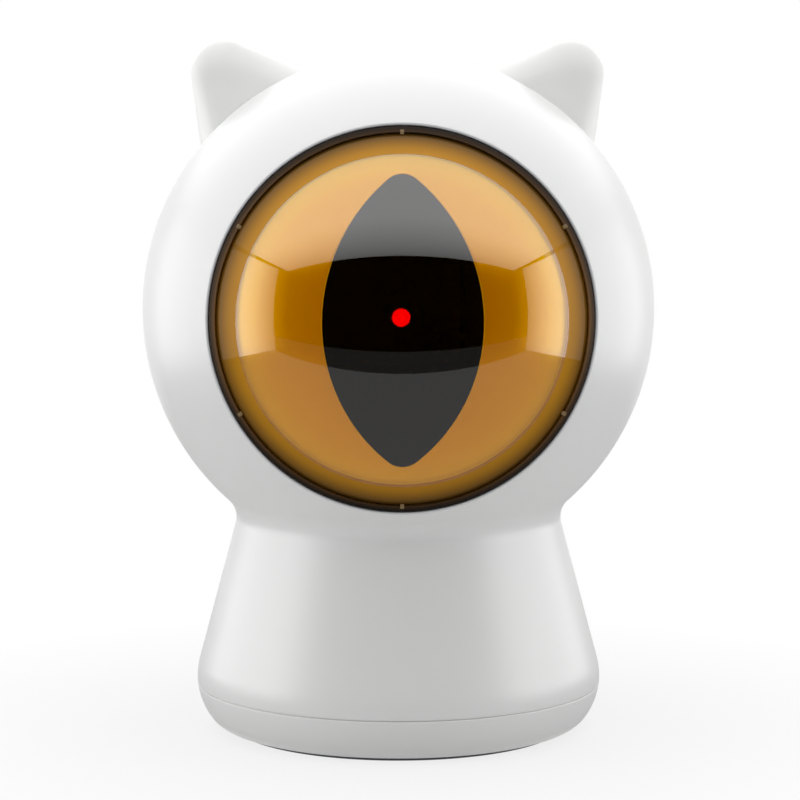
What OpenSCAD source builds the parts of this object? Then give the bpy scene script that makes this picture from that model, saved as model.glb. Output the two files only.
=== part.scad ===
// Automatic cat laser toy: a round head with two ears on a tapered base, one big amber eye,
// and behind the eye a small laser on a gear-driven pan and tilt gimbal, run by three AAA cells.
// The origin is on the surface the toy stands on, at the middle of its foot ring.
// +Z is up, the eye looks along -Y, and +X is the viewer's right.

/* [Housing] */
// Outer diameter of the round head
head_d = 80; // [76:0.5:96]
// Height of the head's centre above the surface
head_h = 66; // [66:0.5:80]
// Widest diameter of the base, low on its wall
base_d = 63.7; // [62:0.1:77]
// Height of that widest place
base_widest_h = 8.2; // [7:0.1:9.9]
// Lean of the base wall inwards, in degrees
base_lean = 15; // [13:0.1:17]
// Radius of the long curve where the wall turns under
base_bulge_r = 10; // [8.5:0.5:12]
// Radius of the edge round the flat underside
base_edge_r = 3.8; // [3.2:0.1:4.6]
// Radius that blends the neck into the head
neck_r = 4; // [3:0.1:6]
// Thickness of the moulded walls
wall = 2; // [1.6:0.1:2.4]
// Height of the seam between the shells and the base cap
seam_h = 7.2; // [6.8:0.1:9]
// Reveal gap that shows as a fine line at each seam
seam_gap = 0.2; // [0.1:0.05:0.4]
// How far behind the head's centre the two shells meet
split_y = 3; // [2:0.5:4]
// Depth of the lip that lines up the two shells
lip_depth = 1.5; // [1:0.1:2]
// Thickness of the lips
lip_t = 1; // [0.8:0.1:1.4]

/* [Ears] */
// Angle of each ear from upright
ear_angle = 36; // [30:1:42]
// Height of the ear's tip above the head's surface
ear_rise = 11.2; // [9:0.1:13.4]
// Radius of the rounded tip, seen from the front
ear_tip_r = 5.4; // [4:0.1:6]
// Radius of the rounded ends of the ear's root
ear_root_r = 4; // [3:0.1:5]
// Distance between the two ends of the root
ear_root_w = 14; // [11:0.5:17]
// Thickness of the ear at its tip
ear_tip_t = 4.6; // [3.6:0.1:6]
// Thickness of the ear at its root
ear_root_t = 10; // [8:0.5:12]
// Diameter of the peg that fixes each ear
ear_peg_d = 3; // [2.4:0.1:4]

/* [Eye] */
// Diameter of the eye opening in the front shell
eye_d = 56.7; // [54:0.1:60]
// Width of the black ring round the lens
bezel_w = 0.95; // [0.8:0.05:1.2]
// How far the lens dome sits inside the head's round
lens_inset = 0.6; // [0.3:0.1:1]
// Wall of the amber lens
lens_wall = 2; // [1.6:0.1:2.4]
// Thickness of the six tabs behind the lens rim
lens_tab_t = 1.6; // [1.2:0.1:2]
// Wall of the golden iris
iris_wall = 0.9; // [0.7:0.1:1.1]
// Width of the slit pupil
pupil_w = 23.2; // [19:0.1:28]
// Height of the slit pupil
pupil_h = 42.6; // [36:0.1:44]
// Radius of the rounded tips of the slit pupil
pupil_tip_r = 3.2; // [2:0.1:4]
// Thickness of the smoked window in the pupil
window_t = 1.9; // [1.4:0.1:2.2]
// Thickness of the ring that clamps the eye together
retainer_t = 1.8; // [1.4:0.1:2.4]

/* [Power] */
// Diameter of an AAA cell
cell_d = 10.5; // [10:0.1:12.6]
// Length of an AAA cell with its nub
cell_l = 44.5; // [43:0.1:45]
// Wall of the battery holder
holder_wall = 1.2; // [1:0.1:1.6]
// Diameter of the round battery door
door_d = 30; // [29.5:0.1:32]
// Thickness of the battery door
door_t = 1.3; // [1.1:0.1:1.6]
// How far the door turns to open
door_turn = 45; // [40:1:50]

/* [Gimbal] */
// Distance of the gimbal's axes in front of the head's centre
gimbal_fwd = 10; // [8:0.5:11]
// Module of all four gears
gear_module = 0.5; // [0.45:0.01:0.55]
// Teeth of the gear that turns the yoke
pan_teeth = 32; // [30:1:34]
// Teeth of the gear that tips the laser
tilt_teeth = 28; // [26:1:29]
// Teeth of both motor pinions
pinion_teeth = 12; // [12:1:13]
// Width of the gear teeth
gear_t = 2.5; // [2:0.1:3]
// Diameter of the laser barrel
laser_d = 6; // [5:0.1:7.2]
// Length of the laser barrel
laser_l = 14; // [11:0.5:16]
// Diameter of the laser's red lens
laser_lens_d = 2.6; // [2:0.1:3.2]
// Diameter of both small motors
motor_d = 8; // [7:0.1:8.4]
// Length of both small motors
motor_l = 8; // [7:0.1:8.5]
// Diameter of the trunnions that carry the laser
trunnion_d = 3; // [2.5:0.1:3.4]
// Thickness of the yoke's arms
arm_t = 1.8; // [1.5:0.1:2.2]
// Thickness of the chassis plate
plate_t = 2; // [1.6:0.1:2.2]

/* [Controls] */
// Diameter of the round power button at the back
button_d = 9; // [8:0.1:11]
// How far the button is pressed
button_travel = 0.5; // [0.3:0.05:0.6]
// Height of the button above the surface
button_h = 60; // [57:0.5:63]
// Height of the status light above the surface
led_h = 74; // [71:0.5:77]
// Diameter of the light pipe
pipe_d = 2.4; // [2:0.1:3]
// Height of the charging socket above the surface
usb_h = 15; // [14:0.1:18]

/* [Hidden] */
$fn = 96;
// Clearances: a running fit, a seated fit, and a piece that must pass free
run_fit = 0.05;
seat_fit = 0.1;
free_gap = 0.3;
// Extra radius of the hole in a piece that a screw clamps
screw_gap = 0.15;
// How far a cut runs past the face it opens
over = 1;
// Overlap that lets two tangent curves cross cleanly
kiss = 0.02;

head_r = head_d / 2;
eye_r = eye_d / 2;
mid_wall = wall / 2;

// Foot ring, and the outline of the base
foot_stand = 0.6;
foot_groove = 0.5;
foot_w = 2.5;
bulge_x = base_d / 2 - base_bulge_r;
edge_z = foot_stand + base_edge_r;
edge_x = bulge_x + sqrt(pow(base_bulge_r - base_edge_r, 2) - pow(base_widest_h - edge_z, 2));
foot_margin = 0.35;
foot_out_r = edge_x - foot_margin;
foot_edge = 0.4;
foot_in_r = foot_out_r - foot_w;
edge_dir = [edge_x - bulge_x, edge_z - base_widest_h] / (base_bulge_r - base_edge_r);
lean_dir = [cos(base_lean), sin(base_lean)];
// The neck blend's centre lies neck_r outside both the head and the leaning wall
wall_line = bulge_x * lean_dir[0] + base_widest_h * lean_dir[1] + base_bulge_r;
neck_far = wall_line + neck_r - head_h * lean_dir[1];
neck_span = sqrt(pow(head_r + neck_r, 2) - pow(neck_far, 2));
neck_c = [0, head_h] + neck_far * lean_dir + neck_span * [lean_dir[1], -lean_dir[0]];

// Screws that hold the base cap, and the posts they enter
post_r = 2.8;
base_post_seat = 5;
base_post_top = 15;
base_screw_r = 1.1;
base_screw_l = 9;
base_head_r = 2;
base_head_h = 1.6;
base_head_z = 2.4;
base_post_land = 1.4;
base_post_at = foot_in_r - base_head_r - base_post_land;
base_hole_l = 9;
rib_t = 1.4;

// Middle of the ears' root along Y, so that their faces start just behind the seam
ear_y = split_y + ear_root_t / 2 + 0.4;

// Posts at the sides, where screws from behind draw the two shells together
side_post_r = 3.4;
side_screw_seat = 3;
side_screw_l = 8;
side_post_front = -9;
side_rib_l = 8;
side_low = [base_d / 2 - 6.75, 15];
side_high = [head_r - 6.6, head_h];
post_clear = 1.2;

// Eye: radii outwards from the eye's axis, and places along Y from the seat backwards
bezel_out_r = eye_r - seat_fit;
lens_r = bezel_out_r - bezel_w - run_fit;
lens_in_r = lens_r - lens_wall;
iris_r = lens_in_r - seat_fit;
iris_in_r = iris_r - iris_wall;
seat_w = 2;
seat_y = -sqrt(pow(head_r - wall, 2) - pow(eye_r + seat_w, 2));
// The seat ring starts inside the wall: behind its outer face and in front of its inner face
seat_root_y = -(sqrt(pow(head_r - wall, 2) - pow(eye_r, 2))
    + sqrt(pow(head_r, 2) - pow(eye_r + seat_w, 2))) / 2;
bezel_flange_t = 0.6;
tab_y = seat_y + bezel_flange_t;
iris_flange_t = 1;
iris_flange_y = tab_y + lens_tab_t;
retainer_y = iris_flange_y + iris_flange_t;
eye_post_r = 2.2;
eye_post_at = eye_r + eye_post_r * 0.75;
eye_screw_r = 0.8;
eye_screw_l = 5;
bezel_inset = 0.15;
tab_w = 5;
iris_flange_over = 0.5;
window_rim = 0.8;
dome_r = head_r - lens_inset;
dome_in_r = dome_r - lens_wall;
iris_dome_r = dome_in_r - free_gap;
iris_dome_in_r = iris_dome_r - iris_wall;
iris_edge_r = 0.9;
tab_angles = [30 : 60 : 330];
eye_post_angles = [45 : 90 : 315];
// The slit pupil is bounded by two equal arcs, which run into a small circle at each tip
pupil_tip_z = pupil_h / 2 - pupil_tip_r;
pupil_side = pupil_w / 2 - pupil_tip_r;
pupil_arc_x = (pow(pupil_tip_z, 2) - pow(pupil_side, 2)) / (2 * pupil_side);
pupil_arc_r = pupil_w / 2 + pupil_arc_x;
// The arcs end this far short of where they touch the circles, as faces that only touch build badly
pupil_touch = 0.2;

// Battery door, holder and cells, from the underside up
door_gap = 0.1;
door_z = foot_stand + door_gap;
door_in_z = door_z + door_t;
ledge_t = 0.8;
ledge_z = door_in_z + run_fit;
door_rim_w = 2.1;
door_hub_r = door_d / 2 - door_rim_w;
door_hub_wall = 1.4;
door_lug = 1.3;
notch_gap = 0.2;
door_lug_z = ledge_z + ledge_t + door_gap;
door_lug_t = 1;
door_lug_half = 10;
contact_t = 0.3;
spring_h = door_lug_z + door_lug_t + seat_fit - door_in_z - contact_t;
cell_z = door_in_z + contact_t + spring_h + free_gap;
cell_fit = 0.25;
cell_nub = [1.9, 1];
cell_web = 0.3;
cell_ring = (cell_d + 2 * cell_fit + cell_web) / sqrt(3);
cell_angles = [30, 150, 270];
holder_z = door_lug_z + door_lug_t + free_gap;
holder_in_top = cell_z + cell_l + free_gap + contact_t;
holder_top = holder_in_top + holder_wall;
holder_post_at = 17.3;
holder_post_r = 2.5;
holder_post_top = 4.6;
holder_lug_t = 1.8;
holder_screw_r = 0.9;

// Gimbal: heights hang from the tilt axis, which passes through the head's centre
axis_y = -gimbal_fwd;
axis_z = head_h;
clamp_wall = 1.5;
clamp_r = laser_d / 2 + clamp_wall;
clamp_l = 8;
clamp_split = 0.8;
clamp_free = 0.6;
clamp_reach = sqrt(pow(clamp_r, 2) + pow(clamp_l / 2, 2));
pan_head_h = 1.1;
washer_t = 0.4;
yoke_t = 1.5;
yoke_top = axis_z - clamp_reach - clamp_free - pan_head_h - washer_t - run_fit;
gear_z = yoke_top - yoke_t - gear_t;
plate_top = gear_z - free_gap;
plate_z = plate_top - plate_t;
pan_post_r = 2.5;
pan_stop_at = 6.5;
pan_stop_r = 0.8;
pan_range = 20;
pan_screw_r = 1;
pressure_angle = 25;
tooth_up = 0.95;
tooth_down = 1.25;
backlash = 0.06;
pinion_r = gear_module * pinion_teeth / 2;
pan_gear_r = gear_module * pan_teeth / 2;
tilt_gear_r = gear_module * tilt_teeth / 2;
pan_motor_y = axis_y - pan_gear_r - pinion_r;
tilt_reach = tilt_gear_r + pinion_r;
pinion_free = 0.4;
tilt_drop = axis_z - yoke_top - pinion_r - gear_module - pinion_free;
tilt_motor_at = [axis_y + sqrt(pow(tilt_reach, 2) - pow(tilt_drop, 2)), axis_z - tilt_drop];
tilt_dir = atan2(-tilt_drop, tilt_motor_at[0] - axis_y);
shoulder_r = trunnion_d / 2 + 1;
tilt_gear_t = 2.2;
tilt_gear_x = clamp_r + 2.3;
arm_x = tilt_gear_x + tilt_gear_t + 1.5;
arm_r = trunnion_d / 2 + 2.5;
arm_half = 4;
motor_shaft_r = 0.5;
motor_boss_r = 1.5;
motor_boss_h = 0.8;
motor_ear_at = motor_d / 2 + 1.3;
motor_ear_t = 0.8;
motor_ear_r = 1.5;
motor_block = [3.2, 2, 2.4];
motor_block_out = 0.6;
shaft_hole = 5;
shaft_in = 4.6;
motor_screw_r = 0.6;
laser_behind = 2;
laser_wall = 0.9;
laser_nose = 1;
laser_front = axis_y - laser_l + laser_behind;
plate_post_r = 2.5;
plate_post_h = 13;
plate_screw_r = 0.9;
plate_posts = [[head_r - 14, axis_y - 0.5], [head_r - 10.7, -1.8]];
peg_r = 0.8;
peg_at = 6;

// Main board on its posts behind the gimbal
board_t = 1.6;
board_room = 10.5;
board_y = sqrt(pow(head_r - wall, 2) - pow(button_h - head_h, 2)) - board_room;
board_w = 28;
board_h = 36;
board_hole_at = [11.6, 15.6];
board_post_r = 2.3;
board_screw_r = 0.8;
socket_x = [-6.5, 0, 6.5];
socket_l = 4.5;
socket_z = head_h - 14;
led_t = 1.2;
lead_r = 0.6;
switch_body = 3.5;
switch_stem = 1.1;
button_flange_t = 1.2;
button_flange_w = 1.2;
button_flange_y = sqrt(pow(head_r - wall, 2) - pow(abs(button_h - head_h) + button_d / 2
    + button_flange_w, 2)) - free_gap;
button_proud = 0.3;

// Charging socket and its small board, low at the back
usb_w = 8.9;
usb_t = 3.2;
usb_l = 7.3;
usb_recess = [12.6, 6.6];
usb_board_t = 1.2;
usb_board_w = 19;
usb_board_l = 7.5;
usb_rail_at = 7.8;
usb_inset = 1.1;
usb_back = wall_radius(usb_h) - usb_inset;
usb_board_z = usb_h - usb_t / 2 - usb_board_t;
usb_board_y = usb_back - usb_l - 3;
usb_screw_y = usb_board_y + 2;

// Outer radius of the leaning base wall at a height
function wall_radius(z) = (wall_line - z * lean_dir[1]) / lean_dir[0];
// A point at a radius and angle
function polar(r, a) = [r * cos(a), r * sin(a)];
// Angle that an involute has turned through where it reaches a radius, in degrees
function roll(base, r) = sqrt(pow(r / base, 2) - 1) * 180 / PI;
function involute_angle(base, r) = roll(base, r) - atan(roll(base, r) * PI / 180);

// ---- Shapes that repeat ----

// A round bar along Y or X, between two places
module bar_y(y0, y1, r) {
    translate([0, y1, 0]) rotate([90, 0, 0]) cylinder(r = r, h = y1 - y0);
}

module bar_x(x0, x1, r) {
    translate([x0, 0, 0]) rotate([0, 90, 0]) cylinder(r = r, h = x1 - x0);
}

module ring_y(y0, y1, inner, outer) {
    difference() {
        bar_y(y0, y1, outer);
        bar_y(y0 - over, y1 + over, inner);
    }
}

// A screw with its tip down and the underside of its head at the origin
module screw(shank, length, head, head_h) {
    difference() {
        union() {
            translate([0, 0, -length]) cylinder(r = shank, h = length);
            cylinder(r = head, h = head_h);
        }
        for (turn = [0, 90]) rotate(turn)
            translate([-head * 0.65, -head * 0.12, head_h * 0.4])
                cube([head * 1.3, head * 0.24, head_h]);
    }
}

// Outline of one involute gear; tooth 0 points along +X
module gear_outline(teeth) {
    pitch = gear_module * teeth / 2;
    base = pitch * cos(pressure_angle);
    tip = pitch + tooth_up * gear_module;
    root = pitch - tooth_down * gear_module;
    thin = backlash / pitch * 180 / PI;
    half = 90 / teeth - thin + involute_angle(base, pitch);
    start = max(base, root);
    steps = 4;
    flank = [for (i = [0 : steps]) let (r = start + (tip - start) * i / steps)
        [r, half - involute_angle(base, r)]];
    tooth = concat([[root, flank[0][1]]], flank);
    polygon([for (k = [0 : teeth - 1], side = [-1, 1], i = [0 : len(tooth) - 1])
        let (p = tooth[side < 0 ? i : len(tooth) - 1 - i])
        polar(p[0], 360 * k / teeth + side * p[1])]);
}

// Outline of the whole housing as half a section, drawn in by an inset
module section(inset) {
    sphere_r = head_r - inset;
    bulge_r = base_bulge_r - inset;
    edge_r = base_edge_r - inset;
    blend_r = neck_r + inset;
    lean_top = neck_c - lean_dir * blend_r;
    lean_foot = [bulge_x, base_widest_h] + lean_dir * bulge_r;
    head_touch = [0, head_h] + (neck_c - [0, head_h]) * sphere_r / (head_r + neck_r);
    bulge_c = [bulge_x, base_widest_h];
    edge_c = [edge_x, edge_z];
    intersection() {
        translate([0, foot_stand + inset]) square([head_d, head_h + head_d]);
        difference() {
            union() {
                translate([0, head_h]) circle(r = sphere_r);
                polygon([[0, head_h], head_touch, neck_c, lean_top, lean_foot, bulge_c,
                    [0, base_widest_h]]);
                intersection() {
                    translate(bulge_c) circle(r = bulge_r + kiss);
                    polygon([[0, head_h], [0, base_widest_h], bulge_c,
                        bulge_c + edge_dir * bulge_r * 2, [2 * base_d, head_h]]);
                }
                translate(edge_c) circle(r = edge_r + kiss);
                polygon([[0, base_widest_h], bulge_c, edge_c, [edge_x, foot_stand + inset],
                    [0, foot_stand + inset]]);
            }
            translate(neck_c) circle(r = blend_r + kiss);
        }
    }
}

// The solid inside the housing's surface, drawn in by an inset
module housing(inset) {
    rotate_extrude() section(inset);
}

module housing_wall() {
    difference() {
        housing(0);
        housing(wall);
    }
}

// Posts of the base cap's screws, on the front or the rear shell
module base_posts(back) {
    for (side = [-1, 1]) rotate(90 * (back ? 1 : -1) + side * 45) {
        translate([base_post_at, 0, base_post_seat])
            cylinder(r = post_r, h = base_post_top - base_post_seat);
        translate([base_post_at, -rib_t / 2, seam_h + 2])
            cube([base_d / 2 - base_post_at, rib_t, base_post_top - seam_h - 2]);
    }
}

module base_post_holes(back) {
    for (side = [-1, 1]) rotate(90 * (back ? 1 : -1) + side * 45)
        translate([base_post_at, 0, base_post_seat - over])
            cylinder(r = base_screw_r + run_fit, h = base_hole_l);
}

// The places at the sides where the two shells are screwed together
module at_side_posts() {
    for (side = [-1, 1], post = [side_low, side_high])
        translate([side * post[0], 0, post[1]]) children();
}

module side_ribs(y0, y1) {
    for (side = [-1, 1], post = [side_low, side_high])
        translate([side > 0 ? post[0] : -post[0] - side_rib_l, y0, post[1] - rib_t / 2])
            cube([side_rib_l, y1 - y0, rib_t]);
}

// ---- Housing ----

// Face, throat and front of the base in one moulding, with the round eye opening
module front_shell() {
    front_end = split_y - seam_gap / 2;
    color("#f4f4f3") difference() {
        union() {
            intersection() {
                housing_wall();
                translate([-head_d, -head_d, seam_h + seam_gap / 2])
                    cube([2 * head_d, head_d + front_end, head_h + head_d]);
            }
            intersection() {
                housing(mid_wall);
                union() {
                    translate([0, 0, head_h]) for (a = eye_post_angles) rotate([0, -a, 0])
                        translate([eye_post_at, 0, 0]) bar_y(seat_y, retainer_y, eye_post_r);
                    for (side = [-1, 1], post = plate_posts)
                        translate([side * post[0], post[1], plate_z - plate_post_h])
                            cylinder(r = plate_post_r, h = plate_post_h);
                    at_side_posts() bar_y(side_post_front, front_end, post_r);
                    side_ribs(side_post_front, front_end);
                    base_posts(false);
                }
            }
            translate([0, 0, head_h]) ring_y(seat_root_y, seat_y, eye_r, eye_r + seat_w);
        }
        translate([0, 0, head_h]) bar_y(-head_d, seat_y + over / 2, eye_r);
        translate([0, 0, head_h]) for (a = eye_post_angles) rotate([0, -a, 0])
            translate([eye_post_at, 0, 0]) bar_y(retainer_y - 4.2, retainer_y + over,
                eye_screw_r + run_fit);
        for (side = [-1, 1], post = plate_posts)
            translate([side * post[0], post[1], plate_z - 7])
                cylinder(r = plate_screw_r + run_fit, h = 8);
        at_side_posts() bar_y(split_y + side_screw_seat - side_screw_l - 0.5, split_y + over,
            base_screw_r + run_fit);
        base_post_holes(false);
    }
}

// A band of the rear shell's lip, from an inset of the surface down to the lip's inside
module lip_band(inset, y0, y1) {
    intersection() {
        rotate_extrude() difference() {
            section(inset);
            section(wall + seat_fit + lip_t);
        }
        translate([-head_d, y0, seam_h + 2]) cube([2 * head_d, y1 - y0, head_h + head_d]);
    }
}

// Back of the head and base in one moulding, with a lip that enters the front shell
module rear_shell() {
    rear_start = split_y + seam_gap / 2;
    color("#f2f2f1") difference() {
        union() {
            intersection() {
                housing_wall();
                translate([-head_d, rear_start, seam_h + seam_gap / 2])
                    cube([2 * head_d, head_d, head_h + head_d]);
            }
            // The lip, cleared where the front shell's side posts stand
            difference() {
                union() {
                    lip_band(wall + seat_fit, split_y - lip_depth, rear_start + lip_depth);
                    lip_band(mid_wall, rear_start, rear_start + lip_depth);
                }
                at_side_posts() bar_y(-head_r, rear_start, side_post_r + post_clear);
            }
            intersection() {
                housing(mid_wall);
                union() {
                    at_side_posts() bar_y(rear_start, head_r, side_post_r);
                    side_ribs(rear_start, rear_start + side_rib_l);
                    base_posts(true);
                    for (x = [-1, 1], z = [-1, 1])
                        translate([x * board_hole_at[0], 0, head_h + z * board_hole_at[1]])
                            bar_y(board_y + board_t, head_r, board_post_r);
                    for (side = [-1, 1])
                        translate([side * usb_rail_at - 1.5, usb_board_y, usb_board_z - 3])
                            cube([3, base_d, 3]);
                }
            }
        }
        at_side_posts() {
            bar_y(0, head_r, base_screw_r + run_fit);
            bar_y(split_y + side_screw_seat, head_r, base_head_r + free_gap);
        }
        base_post_holes(true);
        for (x = [-1, 1], z = [-1, 1])
            translate([x * board_hole_at[0], 0, head_h + z * board_hole_at[1]])
                bar_y(board_y, board_y + board_t + 4, board_screw_r + run_fit);
        for (side = [-1, 1])
            translate([side * usb_rail_at, usb_screw_y, usb_board_z - 2.6])
                cylinder(r = board_screw_r + run_fit, h = 3);
        translate([0, 0, button_h]) bar_y(0, head_d, button_d / 2 + seat_fit);
        translate([0, 0, led_h]) bar_y(0, head_d, pipe_d / 2 + run_fit);
        usb_slot(usb_w + 0.4, usb_t + 0.4, 0);
        usb_slot(usb_recess[0], usb_recess[1], usb_back + 0.1);
        for (side = [-1, 1]) at_ear(side) translate([0, 0, -over])
            cylinder(r = ear_peg_d / 2 + run_fit, h = 2 * head_r);
    }
}

// A round-ended slot through the rear wall, from a place along Y outwards
module usb_slot(width, height, from_y) {
    start = max(from_y, usb_board_y);
    for (side = [-1, 1]) translate([side * (width - height) / 2, 0, usb_h])
        bar_y(start, base_d, height / 2);
    translate([-(width - height) / 2, start, usb_h - height / 2])
        cube([width - height, base_d - start, height]);
}

// ---- Ears ----

// Turns and lifts an ear's own frame, whose Z points out of the head
module at_ear(side) {
    translate([0, ear_y, head_h]) rotate([0, side * ear_angle, 0]) children();
}

// A rounded triangular ear, thin at the tip and deep at the root, cut to sit on the head
module ear(side) {
    tip = head_r + ear_rise - ear_tip_r;
    root = head_r - 3;
    front = -ear_root_t / 2;
    color("#efefee") at_ear(side) {
        difference() {
            hull() {
                translate([side * 0.4, front + ear_tip_t / 2, tip])
                    ear_pebble(ear_tip_r, ear_tip_t);
                for (end = [-1, 1]) translate([end * ear_root_w / 2, 0, root])
                    ear_pebble(ear_root_r, ear_root_t);
            }
            translate([0, -ear_y, 0]) sphere(r = head_r + run_fit);
        }
        translate([0, 0, head_r - wall - 3]) cylinder(r = ear_peg_d / 2, h = wall + 4);
    }
}

module ear_pebble(r, thick) {
    scale([1, thick / (2 * r), 1]) sphere(r = r, $fn = 28);
}

module left_ear() { ear(-1); }

module right_ear() { ear(1); }

module housing_screws() {
    color("#8f9499") at_side_posts() translate([0, split_y + side_screw_seat, 0])
        rotate([-90, 0, 0]) screw(base_screw_r, side_screw_l, base_head_r, 1.6);
}

// ---- Base and battery door ----

// A slice of ring between two angles about Z
module arc_block(r0, r1, middle, half, z0, z1) {
    rotate(middle - half) rotate_extrude(angle = 2 * half)
        translate([r0, z0]) square([r1 - r0, z1 - z0]);
}

// Closes the base from below and carries the battery door, the holder and the foot ring
module base_cap() {
    cap_top = seam_h - seam_gap / 2;
    lip_in = wall + seat_fit + lip_t;
    ledge_top = ledge_z + ledge_t;
    color("#f1f1f0") difference() {
        union() {
            intersection() {
                housing_wall();
                cylinder(r = base_d, h = cap_top);
            }
            // The lip stands up inside the two shells
            difference() {
                union() {
                    intersection() {
                        housing(wall + seat_fit);
                        translate([0, 0, cap_top - 2]) cylinder(r = base_d, h = 2 + lip_depth);
                    }
                    intersection() {
                        housing(mid_wall);
                        translate([0, 0, cap_top - 2]) cylinder(r = base_d, h = 2);
                    }
                }
                housing(lip_in);
            }
            for (a = [45 : 90 : 315]) rotate(a) translate([base_post_at, 0, foot_stand + mid_wall])
                cylinder(r = post_r + 0.4, h = base_post_seat - foot_stand - mid_wall);
            for (side = [-1, 1]) translate([side * holder_post_at, 0, foot_stand + mid_wall])
                cylinder(r = holder_post_r, h = holder_post_top - foot_stand - mid_wall);
            translate([0, 0, foot_stand + mid_wall])
                cylinder(r = door_d / 2 + 1.6, h = ledge_top - foot_stand - mid_wall);
        }
        for (a = [45 : 90 : 315]) rotate(a) translate([base_post_at, 0, 0]) {
            cylinder(r = base_screw_r + screw_gap, h = 2 * base_post_seat);
            cylinder(r = base_head_r + free_gap, h = base_head_z);
        }
        for (side = [-1, 1]) translate([side * holder_post_at, 0, holder_post_top - 2.9])
            cylinder(r = holder_screw_r + run_fit, h = 4);
        // Seat of the door, the hole for its hub, and three notches for its lugs
        cylinder(r = door_d / 2 + door_gap, h = ledge_z);
        cylinder(r = door_hub_r + door_gap, h = 2 * ledge_top);
        for (a = cell_angles) arc_block(door_hub_r - over, door_hub_r + door_lug + notch_gap,
            a + door_turn, door_lug_half + 2, ledge_z - over, ledge_top + over);
        difference() {
            cylinder(r = foot_out_r + seat_fit, h = foot_stand + foot_groove);
            translate([0, 0, -over])
                cylinder(r = foot_in_r - seat_fit, h = foot_stand + foot_groove + 2 * over);
        }
    }
}

module base_screws() {
    color("#8f9499") for (a = [45 : 90 : 315]) rotate(a)
        translate([base_post_at, 0, base_head_z]) rotate([180, 0, 0])
            screw(base_screw_r, base_screw_l, base_head_r, base_head_h);
}

// Soft ring pressed into a groove under the base, on which the toy stands
module foot_ring() {
    top = foot_stand + foot_groove;
    color("#6d7072") rotate_extrude() polygon([[foot_in_r + foot_edge, 0],
        [foot_out_r - foot_edge, 0], [foot_out_r, foot_edge], [foot_out_r, top],
        [foot_in_r, top], [foot_in_r, foot_edge]]);
}

// Round door with three lugs that turn behind the cap's ledge, and a slot for a coin
module battery_door() {
    hub_top = door_lug_z + door_lug_t;
    slot = [13, 1.8, 0.7];
    color("#ededec") difference() {
        union() {
            translate([0, 0, door_z]) cylinder(r = door_d / 2, h = door_t);
            translate([0, 0, door_z + 0.5]) cylinder(r = door_hub_r, h = hub_top - door_z - 0.5);
            for (a = cell_angles) arc_block(door_hub_r - 0.6, door_hub_r + door_lug, a,
                door_lug_half, door_lug_z, hub_top);
        }
        translate([0, 0, door_in_z]) cylinder(r = door_hub_r - door_hub_wall, h = 2 * hub_top);
        translate([-slot[0] / 2, -slot[1] / 2, 0]) cube([slot[0], slot[1], door_z + slot[2]]);
        for (a = [0 : 60 : 300]) rotate(a) translate([door_d / 2 - 3.4, 0, 0])
            cylinder(r = 1.1, h = door_z + 0.4);
    }
}

module door_contacts() {
    color("#cfd2d4") {
        translate([0, 0, door_in_z]) cylinder(r = door_hub_r - door_hub_wall - free_gap, h = contact_t);
        for (a = cell_angles) rotate(a) translate([cell_ring, 0, door_in_z + contact_t / 2])
            difference() {
                cylinder(r1 = 3.2, r2 = 2, h = spring_h + contact_t / 2);
                translate([0, 0, contact_t]) cylinder(r1 = 2.7, r2 = 1.5, h = spring_h);
            }
    }
}

// ---- Battery holder and cells ----

// Three tubes in one moulding, closed at the top and screwed down to the base cap
module battery_holder() {
    tube_r = cell_d / 2 + cell_fit;
    color("#3a3c3e") difference() {
        union() {
            translate([0, 0, holder_z]) linear_extrude(holder_top - holder_z)
                for (a = cell_angles) rotate(a) intersection() {
                    translate([cell_ring, 0]) circle(r = tube_r + holder_wall);
                    polygon([[0, 0], polar(cell_d * 4, -60), polar(cell_d * 4, 60)]);
                }
            translate([-holder_post_at, -holder_post_r, holder_post_top])
                cube([2 * holder_post_at, 2 * holder_post_r, holder_lug_t]);
            for (side = [-1, 1]) translate([side * holder_post_at, 0, holder_post_top])
                cylinder(r = holder_post_r, h = holder_lug_t);
        }
        for (a = cell_angles) rotate(a) translate([cell_ring, 0, 0]) {
            cylinder(r = tube_r, h = holder_in_top);
            cylinder(r = lead_r + run_fit, h = 2 * holder_top);
        }
        for (side = [-1, 1]) translate([side * holder_post_at, 0, 0])
            cylinder(r = holder_screw_r + screw_gap, h = 2 * holder_post_top);
    }
}

module holder_screws() {
    color("#8f9499") for (side = [-1, 1])
        translate([side * holder_post_at, 0, holder_post_top + holder_lug_t])
            screw(holder_screw_r, 4.4, 1.7, 1.2);
}

module cell_contacts() {
    color("#cfd2d4") for (a = cell_angles) rotate(a)
        translate([cell_ring, 0, holder_in_top - contact_t]) cylinder(r = 4, h = contact_t);
}

module aaa_cell(a) {
    color("#3f6f9a") rotate(a) translate([cell_ring, 0, cell_z]) {
        cylinder(r = cell_d / 2, h = cell_l - cell_nub[1]);
        cylinder(r = cell_nub[0], h = cell_l);
    }
}

module aaa_cell_1() { aaa_cell(cell_angles[0]); }

module aaa_cell_2() { aaa_cell(cell_angles[1]); }

module aaa_cell_3() { aaa_cell(cell_angles[2]); }

// ---- Eye ----

// A dome that runs back as a round plug, with its edge rounded; its front faces -Y
module dome_plug(dome, side, edge, back_y) {
    far = dome - edge;
    c = [side - edge, sqrt(pow(far, 2) - pow(side - edge, 2))];
    rotate([90, 0, 0]) rotate_extrude() intersection() {
        translate([0, -back_y]) square([side, dome]);
        union() {
            intersection() {
                circle(r = dome);
                polygon([[0, 0], c * 2, [0, c[1] * 2]]);
            }
            translate(c) circle(r = edge + kiss);
            polygon([[0, 0], c, [side, c[1]], [side, 0]]);
        }
    }
}

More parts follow.
